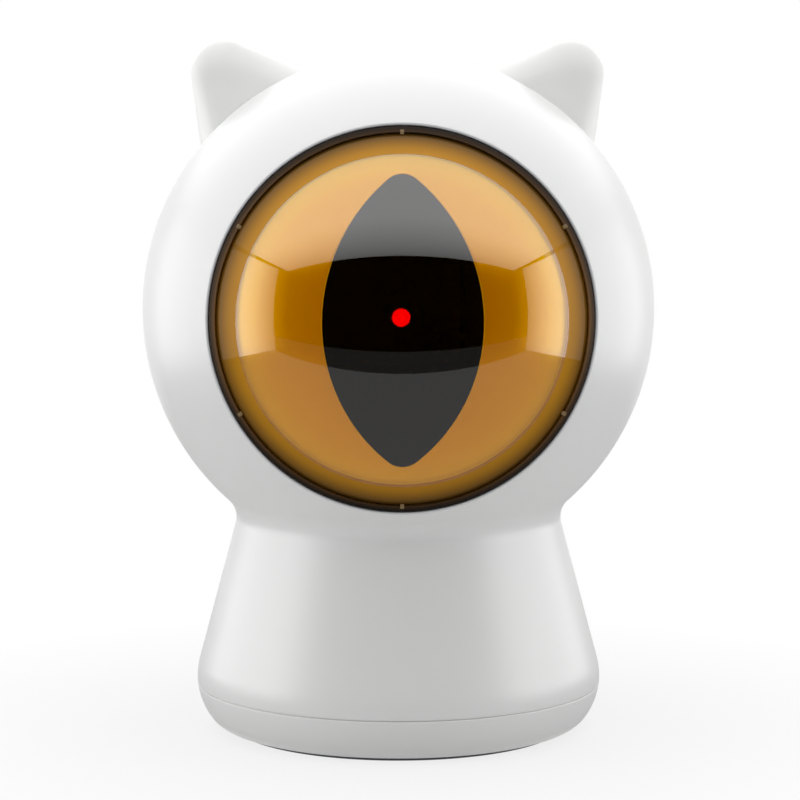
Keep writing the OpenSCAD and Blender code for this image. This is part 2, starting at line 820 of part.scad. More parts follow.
// The slit pupil as a bar along Y, drawn in by an inset
module slit(inset) {
    touch_z = pupil_tip_z * (pupil_arc_r - inset) / (pupil_arc_r - pupil_tip_r);
    translate([0, -over, 0]) rotate([90, 0, 0]) linear_extrude(head_r - over) {
        intersection() {
            translate([pupil_arc_x, 0]) circle(r = pupil_arc_r - inset);
            translate([-pupil_arc_x, 0]) circle(r = pupil_arc_r - inset);
            square([pupil_w * 2, 2 * (touch_z - pupil_touch)], center = true);
        }
        for (tip_z = [-pupil_tip_z, pupil_tip_z]) translate([0, tip_z]) circle(r = pupil_tip_r - inset);
    }
}

// Black ring in the eye opening, with a flange that the lens tabs press on the seat
module eye_bezel() {
    color("#141210") translate([0, 0, head_h]) difference() {
        union() {
            intersection() {
                ring_y(-head_r, tab_y, lens_r + run_fit, bezel_out_r);
                sphere(r = head_r - bezel_inset);
            }
            ring_y(seat_y, tab_y, lens_r + run_fit, eye_r + seat_w - free_gap);
        }
        for (a = eye_post_angles) rotate([0, -a, 0]) translate([eye_post_at, 0, 0])
            bar_y(seat_y - over, tab_y + over, eye_post_r + free_gap);
    }
}

// Clear amber dome whose skirt runs back to six tabs
module eye_lens() {
    tab_out_r = eye_r + seat_w - 2 * free_gap;
    color("#c8831c", 0.6) translate([0, 0, head_h]) difference() {
        union() {
            intersection() {
                sphere(r = dome_r);
                bar_y(-head_r, iris_flange_y, lens_r);
            }
            intersection() {
                bar_y(tab_y, iris_flange_y, tab_out_r);
                union() for (a = tab_angles) rotate([0, -a, 0])
                    translate([lens_in_r + over / 2, tab_y, -tab_w / 2])
                        cube([seat_w + eye_r - lens_in_r, lens_tab_t, tab_w]);
            }
        }
        intersection() {
            sphere(r = dome_in_r);
            bar_y(-head_r, iris_flange_y + over, lens_in_r);
        }
    }
}

// Golden cup behind the lens, pierced by the slit pupil
module iris_reflector() {
    color("#c98a2b") translate([0, 0, head_h]) difference() {
        union() {
            dome_plug(iris_dome_r, iris_r, iris_edge_r, retainer_y);
            ring_y(iris_flange_y, retainer_y, iris_in_r, lens_r + iris_flange_over);
        }
        intersection() {
            sphere(r = iris_dome_in_r);
            bar_y(-head_r, retainer_y + over, iris_in_r);
        }
        slit(0);
    }
}

// Smoked window in the pupil, with a rim that rests behind the iris
module pupil_window() {
    color("#0c0c0d") translate([0, 0, head_h]) difference() {
        union() {
            intersection() {
                sphere(r = iris_dome_r);
                slit(run_fit);
            }
            intersection() {
                sphere(r = iris_dome_in_r - run_fit);
                slit(-window_rim);
            }
        }
        sphere(r = iris_dome_r - window_t);
    }
}

// Ring with four ears that clamps lens and iris to the front shell
module lens_retainer() {
    color("#4a4c4e") translate([0, 0, head_h]) difference() {
        union() {
            bar_y(retainer_y, retainer_y + retainer_t, eye_post_at + 0.2);
            for (a = eye_post_angles) rotate([0, -a, 0]) translate([eye_post_at, 0, 0])
                bar_y(retainer_y, retainer_y + retainer_t, eye_post_r);
        }
        bar_y(retainer_y - over, retainer_y + retainer_t + over, iris_in_r + 0.5);
        for (a = eye_post_angles) rotate([0, -a, 0]) translate([eye_post_at, 0, 0])
            bar_y(retainer_y - over, retainer_y + retainer_t + over, eye_screw_r + screw_gap);
    }
}

module retainer_screws() {
    color("#8f9499") translate([0, 0, head_h]) for (a = eye_post_angles) rotate([0, -a, 0])
        translate([eye_post_at, retainer_y + retainer_t, 0]) rotate([-90, 0, 0])
            screw(eye_screw_r, eye_screw_l, 1.5, 1.1);
}

// ---- Chassis and pan drive ----

// Plate on four posts of the front shell, with the fixed post that the yoke turns on
module mech_chassis() {
    color("#55585b") difference() {
        union() {
            translate([0, 0, plate_z]) linear_extrude(plate_t) {
                for (side = [-1, 1], post = plate_posts)
                    translate([side * post[0], post[1]]) circle(r = plate_post_r + 0.5);
                for (post = plate_posts) translate([-post[0], post[1] - plate_post_r])
                    square([2 * post[0], 2 * plate_post_r]);
                translate([0, axis_y]) circle(r = pan_gear_r + 2);
                translate([-motor_ear_at - motor_ear_r - free_gap, pan_motor_y - motor_d / 2 - 0.6])
                    square([2 * (motor_ear_at + motor_ear_r + free_gap),
                        axis_y - pan_motor_y + motor_d / 2]);
            }
            translate([0, axis_y, plate_z]) cylinder(r = pan_post_r, h = yoke_top + run_fit - plate_z);
            translate([0, axis_y, plate_z])
                cylinder(r = pan_post_r + 1.2, h = gear_z - run_fit - plate_z);
        }
        translate([0, axis_y, plate_z + 0.8])
            cylinder(r = pan_screw_r + run_fit, h = yoke_top);
        for (side = [-1, 1], post = plate_posts) translate([side * post[0], post[1], plate_z - over])
            cylinder(r = plate_screw_r + screw_gap, h = plate_t + 2 * over);
        translate([0, pan_motor_y, plate_z - over])
            cylinder(r = pinion_r + gear_module + free_gap, h = plate_t + 2 * over);
        for (side = [-1, 1]) translate([side * motor_ear_at, pan_motor_y, plate_z - over])
            cylinder(r = motor_screw_r + run_fit, h = plate_t + 2 * over);
        // The arc in which the gear's stop peg travels
        translate([0, axis_y, 0]) arc_block(pan_stop_at - pan_stop_r - 0.1,
            pan_stop_at + pan_stop_r + 0.1, 90,
            pan_range + asin(pan_stop_r / pan_stop_at) + 1.5, plate_z - over, plate_top + over);
    }
}

module chassis_screws() {
    color("#8f9499") for (side = [-1, 1], post = plate_posts)
        translate([side * post[0], post[1], plate_top]) screw(plate_screw_r, 7, 1.7, 1.1);
}

// A small round motor; its front face is at the origin and its shaft points along +Z
module motor() {
    color("#b9bcc0") difference() {
        union() {
            translate([0, 0, -motor_l]) cylinder(r = motor_d / 2, h = motor_l);
            cylinder(r = motor_boss_r, h = motor_boss_h);
            translate([0, 0, -motor_ear_t]) linear_extrude(motor_ear_t) {
                for (side = [-1, 1]) translate([side * motor_ear_at, 0]) circle(r = motor_ear_r);
                translate([-motor_ear_at, -motor_ear_r]) square([2 * motor_ear_at, 2 * motor_ear_r]);
            }
            translate([-motor_block[0] / 2, -motor_d / 2 - motor_block_out, -motor_l + motor_block_out])
                cube(motor_block);
        }
        translate([0, 0, -shaft_hole])
            cylinder(r = motor_shaft_r + run_fit, h = shaft_hole + motor_boss_h + over);
        for (side = [-1, 1]) translate([side * motor_ear_at, 0, -motor_l])
            cylinder(r = motor_screw_r + run_fit, h = motor_l + over);
    }
}

module motor_screws() {
    color("#8f9499") for (side = [-1, 1]) translate([side * motor_ear_at, 0, -motor_ear_t])
        rotate([180, 0, 0]) screw(motor_screw_r, motor_ear_t + 1.5, 1.1, 0.8);
}

// A pinion on its shaft, from a height above the motor's front face
module pinion(start, width) {
    color("#d9c68a") {
        translate([0, 0, start]) linear_extrude(width) gear_outline(pinion_teeth);
        translate([0, 0, -shaft_in]) cylinder(r = motor_shaft_r, h = shaft_in + start + width + 0.4);
    }
}

module at_pan_motor() {
    translate([0, pan_motor_y, plate_z]) children();
}

module pan_motor() { at_pan_motor() rotate(180) motor(); }

module pan_motor_screws() { at_pan_motor() motor_screws(); }

module pan_pinion() {
    at_pan_motor() rotate(90 - 180 / pinion_teeth) pinion(gear_z - plate_z - 0.2, gear_t + 0.4);
}

// Gear that turns on the chassis post; a peg below it meets the ends of an arc
module pan_gear() {
    color("#e3e1d8") translate([0, axis_y, gear_z]) difference() {
        union() {
            rotate(-90) linear_extrude(gear_t) gear_outline(pan_teeth);
            translate([0, pan_stop_at, plate_z + 0.4 - gear_z])
                cylinder(r = pan_stop_r, h = gear_z - plate_z + 0.4);
        }
        translate([0, 0, -over]) cylinder(r = pan_post_r + run_fit, h = gear_t + 2 * over);
        for (side = [-1, 1]) translate([side * peg_at, 0, 0.3])
            cylinder(r = peg_r + run_fit, h = gear_t);
    }
}

module at_arm(x) {
    translate([x, 0, 0]) rotate([90, 0, 90]) linear_extrude(arm_t) children();
}

// U-shaped yoke: two arms carry the laser's trunnions, and the right one the tilt motor
module pan_yoke() {
    bottom = yoke_top - yoke_t;
    out_x = arm_x + arm_t;
    ty = tilt_motor_at[0];
    tz = tilt_motor_at[1];
    color("#8d9093") difference() {
        union() {
            translate([-out_x, axis_y - arm_half, bottom]) cube([2 * out_x, 2 * arm_half, yoke_t]);
            translate([0, axis_y, bottom]) cylinder(r = pan_post_r + 3.2, h = yoke_t);
            for (x = [-out_x, arm_x]) at_arm(x) {
                translate([axis_y, axis_z]) circle(r = arm_r);
                translate([axis_y - arm_half, bottom])
                    square([2 * arm_half, axis_z - bottom]);
            }
            at_arm(arm_x) {
                translate([ty, tz]) circle(r = motor_d / 2 - 0.4);
                translate([axis_y, tz - 2]) square([ty + motor_ear_at + 1.6 - axis_y, 4]);
                polygon([[axis_y + arm_half - over, bottom], [ty, tz - 3.4], [ty, tz],
                    [axis_y + arm_half - over, tz]]);
            }
            for (side = [-1, 1]) translate([side * peg_at, axis_y, gear_z + 0.5])
                cylinder(r = peg_r, h = bottom - gear_z);
        }
        translate([0, axis_y, bottom - over]) cylinder(r = pan_post_r + run_fit, h = yoke_t + 2 * over);
        translate([-2 * out_x, axis_y, axis_z]) rotate([0, 90, 0])
            cylinder(r = trunnion_d / 2 + run_fit, h = 4 * out_x);
        translate([arm_x - over, ty, tz]) rotate([0, 90, 0])
            cylinder(r = motor_boss_r + 0.1, h = arm_t + 2 * over);
        for (side = [-1, 1]) translate([arm_x - over, ty + side * motor_ear_at, tz])
            rotate([0, 90, 0]) cylinder(r = motor_screw_r + run_fit, h = arm_t + 2 * over);
    }
}

module pan_washer() {
    color("#c2c5c8") translate([0, axis_y, yoke_top + run_fit]) difference() {
        cylinder(r = pan_post_r + 1.2, h = washer_t);
        translate([0, 0, -over]) cylinder(r = pan_screw_r + run_fit, h = washer_t + 2 * over);
    }
}

module pan_screw() {
    color("#8f9499") translate([0, axis_y, yoke_top + run_fit + washer_t])
        screw(pan_screw_r, 5.4, 1.9, pan_head_h);
}

// ---- Tilt drive and laser ----

module at_tilt_motor() {
    translate([arm_x + arm_t, tilt_motor_at[0], tilt_motor_at[1]]) rotate([0, -90, 0]) children();
}

module tilt_motor() { at_tilt_motor() rotate(90) motor(); }

module tilt_motor_screws() { at_tilt_motor() rotate(90) motor_screws(); }

module tilt_pinion() {
    from_arm = arm_x + arm_t - tilt_gear_x - tilt_gear_t - 0.2;
    at_tilt_motor() rotate([0, 0, -tilt_dir - 90 + 180 / pinion_teeth])
        pinion(from_arm, tilt_gear_t + 0.4);
}

module tilt_gear() {
    color("#e3e1d8") translate([tilt_gear_x, axis_y, axis_z]) rotate([90, 0, 90]) difference() {
        rotate(tilt_dir) linear_extrude(tilt_gear_t) gear_outline(tilt_teeth);
        translate([0, 0, -over]) cylinder(r = shoulder_r + run_fit, h = tilt_gear_t + 2 * over);
    }
}

// Split clamp round the laser, with a trunnion on each side
module laser_cradle() {
    reach = arm_x + arm_t + 0.3;
    color("#707478") translate([0, axis_y, axis_z]) difference() {
        union() {
            bar_y(-clamp_l / 2, clamp_l / 2, clamp_r);
            bar_x(-arm_x + free_gap, arm_x - free_gap, shoulder_r);
            bar_x(-reach, reach, trunnion_d / 2);
            translate([-1.6, -clamp_l / 2, clamp_r - 1.2]) cube([3.2, clamp_l, 2.4]);
        }
        bar_y(-clamp_l, clamp_l, laser_d / 2 + run_fit);
        translate([-clamp_split / 2, -clamp_l, 0]) cube([clamp_split, 2 * clamp_l, 2 * clamp_r]);
    }
}

module laser_barrel() {
    color("#c9a24b") translate([0, 0, axis_z]) difference() {
        bar_y(laser_front, laser_front + laser_l, laser_d / 2);
        bar_y(laser_front + laser_nose, laser_front + laser_l + over, laser_d / 2 - laser_wall);
        bar_y(laser_front - over, laser_front + laser_nose + over, laser_lens_d / 2 + run_fit);
    }
}

module laser_lens() {
    flange = 0.7;
    color("#ff1408") translate([0, 0, axis_z]) {
        bar_y(laser_front + 0.1, laser_front + laser_nose + 0.2, laser_lens_d / 2);
        bar_y(laser_front + laser_nose, laser_front + laser_nose + 0.6, laser_lens_d / 2 + flange);
    }
}

// Diode can inside the barrel's rear end, on its small round board
module laser_driver() {
    back = laser_front + laser_l;
    inner = laser_d / 2 - laser_wall - run_fit;
    color("#2f7d4f") translate([0, 0, axis_z]) {
        bar_y(back - 4, back + 0.1, inner);
        bar_y(back, back + 0.9, laser_d / 2);
        translate([-1.6, back + 0.6, -1]) cube([3.2, 1.6, 2]);
    }
}

// ---- Main board and controls ----

module rounded_rect(w, h, r) {
    translate([-w / 2 + r, -h / 2]) square([w - 2 * r, h]);
    translate([-w / 2, -h / 2 + r]) square([w, h - 2 * r]);
    for (x = [-1, 1], z = [-1, 1]) translate([x * (w / 2 - r), z * (h / 2 - r)]) circle(r = r);
}

// Places a flat outline as a sheet in front of the plane at one place along Y
module upright(y, thick) {
    translate([0, y + thick, head_h]) rotate([90, 0, 0]) linear_extrude(thick) children();
}

module main_board() {
    color("#1f6e46") difference() {
        upright(board_y, board_t) rounded_rect(board_w, board_h, 2);
        for (x = [-1, 1], z = [-1, 1])
            translate([x * board_hole_at[0], 0, head_h + z * board_hole_at[1]])
                bar_y(board_y - over, board_y + board_t + over, board_screw_r + screw_gap);
    }
}

module control_chip() {
    chip = [8, 1.4, 8];
    leg = [0.4, 0.5, 1];
    color("#202224") translate([0, board_y - chip[1], head_h + 4]) {
        translate([-chip[0] / 2, 0, -chip[2] / 2]) cube(chip);
        for (side = [-1, 1], k = [-3 : 3]) translate([k * 1.05 - leg[0] / 2, chip[1] - leg[1],
            side * (chip[2] / 2 + 0.4) - leg[2] / 2]) cube(leg);
    }
}

// Three plug-in sockets along the lower edge, for the leads
module board_sockets() {
    body = [5, socket_l, 4];
    color("#efe9d8") for (x = socket_x) translate([x - body[0] / 2, board_y - body[1], socket_z - 2])
        difference() {
            cube(body);
            translate([0.6, -over, 0.6]) cube([body[0] - 1.2, 2 + over, body[2] - 1.2]);
        }
}

module capacitors() {
    color("#2b3a66") for (x = [-9, 9]) translate([x, 0, head_h + 7])
        bar_y(board_y - 5, board_y, 2.4);
}

module board_screws() {
    color("#8f9499") for (x = [-1, 1], z = [-1, 1])
        translate([x * board_hole_at[0], board_y, head_h + z * board_hole_at[1]])
            rotate([90, 0, 0]) screw(board_screw_r, board_t + 3.2, 1.5, 1.1);
}

module tact_switch() {
    base_y = board_y + board_t;
    color("#4d4f52") {
        translate([-3, base_y, button_h - 3]) cube([6, switch_body, 6]);
        translate([0, 0, button_h]) bar_y(base_y + switch_body - 0.5,
            base_y + switch_body + switch_stem, 1.7);
    }
}

// Round button whose face follows the head; its flange keeps it behind the wall
module power_button() {
    stem_y = board_y + board_t + switch_body + switch_stem + button_travel + run_fit;
    color("#e9e9e8") {
        intersection() {
            translate([0, 0, button_h]) bar_y(button_flange_y - 0.5, head_d, button_d / 2);
            translate([0, 0, head_h]) sphere(r = head_r + button_proud);
        }
        translate([0, 0, button_h]) {
            bar_y(button_flange_y - button_flange_t, button_flange_y,
                button_d / 2 + button_flange_w);
            bar_y(stem_y, button_flange_y - button_flange_t / 2, 1.5);
        }
    }
}

module status_led() {
    color("#f6f3c8") translate([-1, board_y + board_t, led_h - 0.8]) cube([2, led_t, 1.6]);
}

// Clear pipe that carries the light to the back of the head
module light_pipe() {
    flange_w = 0.8;
    flange_y = sqrt(pow(head_r - wall, 2) - pow(abs(led_h - head_h) + pipe_d / 2 + flange_w, 2));
    start = board_y + board_t + led_t + free_gap;
    color("#e8eef2", 0.7) {
        intersection() {
            translate([0, 0, led_h]) bar_y(start, head_d, pipe_d / 2);
            translate([0, 0, head_h]) sphere(r = head_r + 0.1);
        }
        translate([0, 0, led_h]) bar_y(flange_y - 1, flange_y - 0.1, pipe_d / 2 + flange_w);
    }
}

// ---- Charging socket ----

module usb_board() {
    color("#1f6e46") difference() {
        translate([-usb_board_w / 2, usb_board_y, usb_board_z])
            cube([usb_board_w, usb_board_l, usb_board_t]);
        for (side = [-1, 1]) translate([side * usb_rail_at, usb_screw_y, usb_board_z - over])
            cylinder(r = board_screw_r + screw_gap, h = usb_board_t + 2 * over);
    }
}

// A round-ended bar along Y
module flat_bar(w, h, y0, y1) {
    for (side = [-1, 1]) translate([side * (w - h) / 2, 0, 0]) bar_y(y0, y1, h / 2);
    translate([-(w - h) / 2, y0, -h / 2]) cube([w - h, y1 - y0, h]);
}

// Pressed steel shell of the socket with its tongue inside
module usb_socket() {
    skin = 0.3;
    back = usb_back - usb_l;
    color("#c9cccf") translate([0, 0, usb_h]) {
        difference() {
            flat_bar(usb_w, usb_t, back, usb_back);
            flat_bar(usb_w - 2 * skin, usb_t - 2 * skin, back + 1, usb_back + over);
        }
        translate([-3.3, back + 0.5, -0.35]) cube([6.6, usb_l - 1.6, 0.7]);
    }
}

module usb_screws() {
    color("#8f9499") for (side = [-1, 1])
        translate([side * usb_rail_at, usb_screw_y, usb_board_z + usb_board_t])
            screw(board_screw_r, usb_board_t + 2.2, 1.4, 1);
}

// ---- Leads ----

// A round lead through a list of places
module lead(places) {
    for (i = [0 : len(places) - 2]) let (a = places[i], d = places[i + 1] - a) {
        translate(a) rotate([0, acos(d[2] / norm(d)), atan2(d[1], d[0])])
            cylinder(r = lead_r, h = norm(d));
        if (i > 0) translate(a) sphere(r = lead_r * 1.05);
    }
}

// The last stretch of a lead, into one of the board's sockets
function plug(k, dx, dz) = let (at = [socket_x[k] + dx, 0, socket_z + dz])
    [at + [0, board_y - socket_l - 1.5, 0], at + [0, board_y - socket_l + 1.9, 0]];

module battery_leads() {
    roof = holder_in_top + 0.05;
    at = cell_ring * [cos(cell_angles[0]), sin(cell_angles[0])];
    color("#b3261e") lead(concat([[at[0], at[1], roof], [at[0], at[1], holder_top + 3.5],
        [0, 12, plate_z + 5]], plug(0, 1.2, 0)));
    color("#26282a") lead(concat([[-at[0], at[1], roof], [-at[0], at[1], holder_top + 3.5],
        [-8, 12, plate_z + 4]], plug(0, -1.2, 0)));
}

module usb_leads() {
    color("#26282a") for (side = [-1, 1]) let (x = side * 1.2) lead(concat([
        [x, usb_board_y + 0.6, usb_board_z + usb_board_t + 0.6],
        [x, usb_board_y - 1.4, usb_board_z + 4], [x, usb_board_y - 1.6, socket_z - 18],
        [x, board_y - socket_l - 2.1, socket_z - 4]], plug(1, x, 0)));
}

// From the terminals on the pan motor's rear, under the chassis and round the battery holder
module pan_motor_leads() {
    start_y = pan_motor_y + motor_d / 2 + motor_block_out;
    start_z = plate_z - motor_l + motor_block_out + motor_block[2] / 2;
    color("#26282a") for (dz = [-0.7, 0.7]) lead(concat([
        [0, start_y, start_z + dz], [0, start_y + 1.2, start_z + dz],
        [9, axis_y - 3.5, start_z + dz], [15, -4, start_z + dz], [15.5, 6, start_z + 2 + dz],
        [12, 15, socket_z - 2.5 + dz]], plug(2, 0, dz)));
}

front_shell();
rear_shell();
left_ear();
right_ear();
housing_screws();
base_cap();
base_screws();
foot_ring();
battery_door();
door_contacts();
battery_holder();
holder_screws();
cell_contacts();
aaa_cell_1();
aaa_cell_2();
aaa_cell_3();
eye_bezel();
eye_lens();
iris_reflector();
pupil_window();
lens_retainer();
retainer_screws();
mech_chassis();
chassis_screws();
pan_motor();
pan_motor_screws();
pan_pinion();
pan_gear();
pan_yoke();
pan_washer();
pan_screw();
tilt_motor();
tilt_motor_screws();
tilt_pinion();
tilt_gear();
laser_cradle();
laser_barrel();
laser_lens();
laser_driver();
main_board();
control_chip();
board_sockets();
capacitors();
board_screws();
tact_switch();
power_button();
status_led();
light_pipe();
usb_board();
usb_socket();
usb_screws();
battery_leads();
usb_leads();
pan_motor_leads();
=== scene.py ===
from math import asin, atan2, cos, degrees, pi, radians, sin, sqrt

import bmesh
import bpy
from mathutils import Matrix, Vector


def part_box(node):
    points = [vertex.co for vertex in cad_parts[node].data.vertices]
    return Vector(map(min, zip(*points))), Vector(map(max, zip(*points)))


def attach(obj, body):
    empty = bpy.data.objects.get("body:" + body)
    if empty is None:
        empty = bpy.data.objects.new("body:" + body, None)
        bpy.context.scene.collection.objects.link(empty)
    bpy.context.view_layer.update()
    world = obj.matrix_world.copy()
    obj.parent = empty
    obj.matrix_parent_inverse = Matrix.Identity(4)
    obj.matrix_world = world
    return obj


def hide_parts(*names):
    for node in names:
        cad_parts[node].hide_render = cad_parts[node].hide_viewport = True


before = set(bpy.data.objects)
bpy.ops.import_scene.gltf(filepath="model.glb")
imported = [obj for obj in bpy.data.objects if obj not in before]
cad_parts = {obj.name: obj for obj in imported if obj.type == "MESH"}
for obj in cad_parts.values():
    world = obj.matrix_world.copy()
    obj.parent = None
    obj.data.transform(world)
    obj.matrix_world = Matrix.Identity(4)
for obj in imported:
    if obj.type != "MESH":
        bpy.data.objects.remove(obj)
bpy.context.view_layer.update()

# ---- Camera ----
# It looks down a little at the eye, from slightly left of the toy's middle, as in the photograph.


def in_scene(name, data):
    """A new object in the scene."""
    thing = bpy.data.objects.new(name, data)
    bpy.context.scene.collection.objects.link(thing)
    return thing


camera = in_scene("camera", bpy.data.cameras.new("camera"))
camera.location = (-0.00758, -0.4019, 0.0894)
camera.rotation_euler = (radians(84.636), 0, radians(-1.115))
camera.data.sensor_width = 36
camera.data.lens = 115.3
camera.data.clip_start = 0.01
bpy.context.scene.camera = camera
bpy.context.scene.view_settings.view_transform = "Standard"

# ---- Floor and studio ----
# A pale floor that keeps the toy's shadow, under a white surround. Soft lamps above and at both
# sides light the shell; dark and bright cards, seen only in gloss, stand for the tent round it.

WHITE = (1, 1, 1, 1)


def node_tree(owner):
    owner.use_nodes = True
    owner.node_tree.nodes.clear()
    return owner.node_tree


def new_material(name):
    """A material, and its empty node tree."""
    material = bpy.data.materials.new(name)
    return material, node_tree(material)


def add(tree, kind, links=None, **values):
    """A node whose inputs take values or other nodes' outputs. A shader node goes by the rest of its name."""
    node = tree.nodes.new(kind if "Node" in kind else "ShaderNode" + kind)
    for key, value in values.items():
        setattr(node, key, value)
    for key, value in (links or {}).items():
        if isinstance(value, bpy.types.NodeSocket):
            tree.links.new(value, node.inputs[key])
        else:
            node.inputs[key].default_value = value
    return node


def made(tree, kind, links=None, **values):
    """The first output of such a node."""
    return add(tree, kind, links, **values).outputs[0]


def maths(tree, operation, *terms):
    return made(tree, "Math", dict(enumerate(terms)), operation=operation)


def ranged(tree, value, low, high, to_low=0, to_high=1):
    """A value carried over from one range to another, and held at both ends."""
    ends = {"Value": value, "From Min": low, "From Max": high, "To Min": to_low, "To Max": to_high}
    return made(tree, "MapRange", ends)


def place_on(tree):
    """Where a point of the piece is, in metres."""
    return add(tree, "TexCoord").outputs["Object"]


def along(tree, axis):
    """How far along one axis a point of the piece is, in metres."""
    return add(tree, "SeparateXYZ", {0: place_on(tree)}).outputs[axis]


def noise(tree, place, scale, detail=2):
    return add(tree, "TexNoise", {"Vector": place, "Scale": scale, "Detail": detail}).outputs["Fac"]


def length_of(tree, vector):
    return add(tree, "VectorMath", {0: vector}, operation="LENGTH").outputs["Value"]


def share_of(tree, share, first, second):
    """One shader, the other, or a share of both."""
    return made(tree, "MixShader", {0: share, 1: first, 2: second})


def surface(tree, kind, links):
    """A shader that is all of a material's surface."""
    shader = add(tree, kind, links)
    add(tree, "OutputMaterial", {"Surface": shader.outputs[0]})


def linear(r, g, b):
    """A colour given as it shows on a screen, from 0 to 255, for a shader."""
    shown = [v / 255 for v in (r, g, b)]
    return tuple(v / 12.92 if v < 0.0404 else ((v + 0.055) / 1.055) ** 2.4 for v in shown) + (1,)


def surround(tree):
    """How much of the white surround a ray sees: all of it for the camera, gloss and clear pieces."""
    path = add(tree, "LightPath").outputs
    seen = maths(tree, "MAXIMUM", path["Is Camera Ray"], path["Is Glossy Ray"])
    return maths(tree, "MAXIMUM", seen, path["Is Transmission Ray"])


world = bpy.data.worlds.new("white_surround")
bpy.context.scene.world = world
tree = node_tree(world)
room = made(tree, "Background", {"Color": linear(238, 240, 243), "Strength": 0.41})
white = made(tree, "Background", {"Color": WHITE, "Strength": 1})
add(tree, "OutputWorld", {"Surface": share_of(tree, surround(tree), room, white)})


def sheet(name, corners, material):
    """A flat piece of the studio, which isn't part of the toy."""
    mesh = bpy.data.meshes.new(name)
    mesh.from_pydata(corners, [], [(0, 1, 2, 3)])
    mesh.materials.append(material)
    thing = in_scene(name, mesh)
    return thing


floor_paint, tree = new_material("floor_paint")
place = place_on(tree)
tone = ranged(tree, noise(tree, place, 40, 3), 0, 1, 0.76, 0.8)
paint = made(tree, "BsdfDiffuse", {"Color": tone})
# For the camera the floor is mostly the white surround, and far from the toy it is all of it
fade = maths(tree, "MULTIPLY", ranged(tree, length_of(tree, place), 0.035, 0.1, 0.8), surround(tree))
glow = made(tree, "Emission", {"Color": WHITE, "Strength": 1})
surface(tree, "MixShader", {0: fade, 1: paint, 2: glow})
sheet("floor", [(-3, -3, 0), (3, -3, 0), (3, 3, 0), (-3, 3, 0)], floor_paint)


def lamp(name, place, size, power):
    """A soft square lamp that looks at the toy."""
    light = bpy.data.lights.new(name, "AREA")
    light.shape = "RECTANGLE"
    light.size = light.size_y = size
    light.energy = power
    thing = in_scene(name, light)
    thing.location = place
    thing.rotation_euler = (Vector((0, 0, 0.05)) - Vector(place)).to_track_quat("-Z", "Y").to_euler()
    thing.visible_camera = thing.visible_glossy = False


lamp("lamp_above", (0, 0.02, 0.75), 0.9, 3.0)
lamp("lamp_left", (-0.7, -0.2, 0.24), 0.5, 1.3)
lamp("lamp_right", (0.7, -0.2, 0.24), 0.5, 1.0)


def card(name, corners, brightness, front=0.0, dim=1.0):
    """A sheet that only gloss sees: a panel of the light tent, dimmer by its front edge, or a dark one."""
    material, tree = new_material(name)
    level = ranged(tree, along(tree, "Y"), front, front + 0.08, brightness * dim, brightness)
    surface(tree, "Emission", {"Color": WHITE, "Strength": level})
    thing = sheet(name, corners, material)
    thing.visible_camera = thing.visible_diffuse = thing.visible_transmission = thing.visible_shadow = False


def across(half, near, far):
    """The corners of a card from left to right, between a near and a far edge given as (y, z)."""
    return [(-half, *near), (half, *near), (half, *far), (-half, *far)]


card("card_above", across(0.222, (-0.19, 0.152), (0.2, 0.165)), 2.45, -0.19, 0.4)
upright = ((0.226, -0.165, 0), (0.226, -0.165, 0.15), (0.24, 0.2, 0.16), (0.24, 0.2, 0))
for name, side in (("card_left", -1), ("card_right", 1)):
    card(name, [(side * x, y, z) for x, y, z in upright], 2.8, -0.17, 0.2)
card("card_floor", across(0.23, (-0.16, 0.002), (0.2, 0.002)), 0.48)
card("dark_floor", across(0.6, (-0.258, 0.002), (-0.16, 0.002)), 0.1)
card("dark_front", across(0.6, (-0.258, 0), (-0.258, 0.9)), 0)
card("dark_top", across(0.6, (-0.258, 0.5), (-0.2, 0.17)), 0)

# ---- Housing: front and rear shells ----
# Two white satin mouldings, turned from one outline: round head, neck, leaning base wall and a
# turned-under edge. They meet at a fine seam behind the ears' front faces, on a hidden lip.

HEAD_R, HEAD_H, WALL = 40.0, 66.0, 2.0
BASE_R, WIDEST_H, LEAN = 31.85, 8.2, 15.0
BULGE_R, EDGE_R, NECK_R = 10.0, 3.8, 4.0
STAND, SEAM_H, SEAM_GAP, SPLIT_Y = 0.6, 7.2, 0.2, 3.0
EYE_R, EYE_SOFT = 28.35, 0.25

lean_dir = Vector((cos(radians(LEAN)), sin(radians(LEAN))))
bulge_c = Vector((BASE_R - BULGE_R, WIDEST_H))
edge_z = STAND + EDGE_R
edge_c = Vector((bulge_c.x + sqrt((BULGE_R - EDGE_R) ** 2 - (WIDEST_H - edge_z) ** 2), edge_z))
wall_line = bulge_c.dot(lean_dir) + BULGE_R
neck_far = wall_line + NECK_R - HEAD_H * lean_dir.y
neck_down = sqrt((HEAD_R + NECK_R) ** 2 - neck_far ** 2)
neck_c = Vector((0, HEAD_H)) + neck_far * lean_dir + neck_down * Vector((lean_dir.y, -lean_dir.x))


def arc(centre, radius, start, end, steps):
    """Points on an arc between two angles in degrees, as (radius, height) of a turned outline."""
    turns = [radians(start + (end - start) * i / steps) for i in range(steps + 1)]
    return [(centre[0] + radius * cos(t), centre[1] + radius * sin(t)) for t in turns]


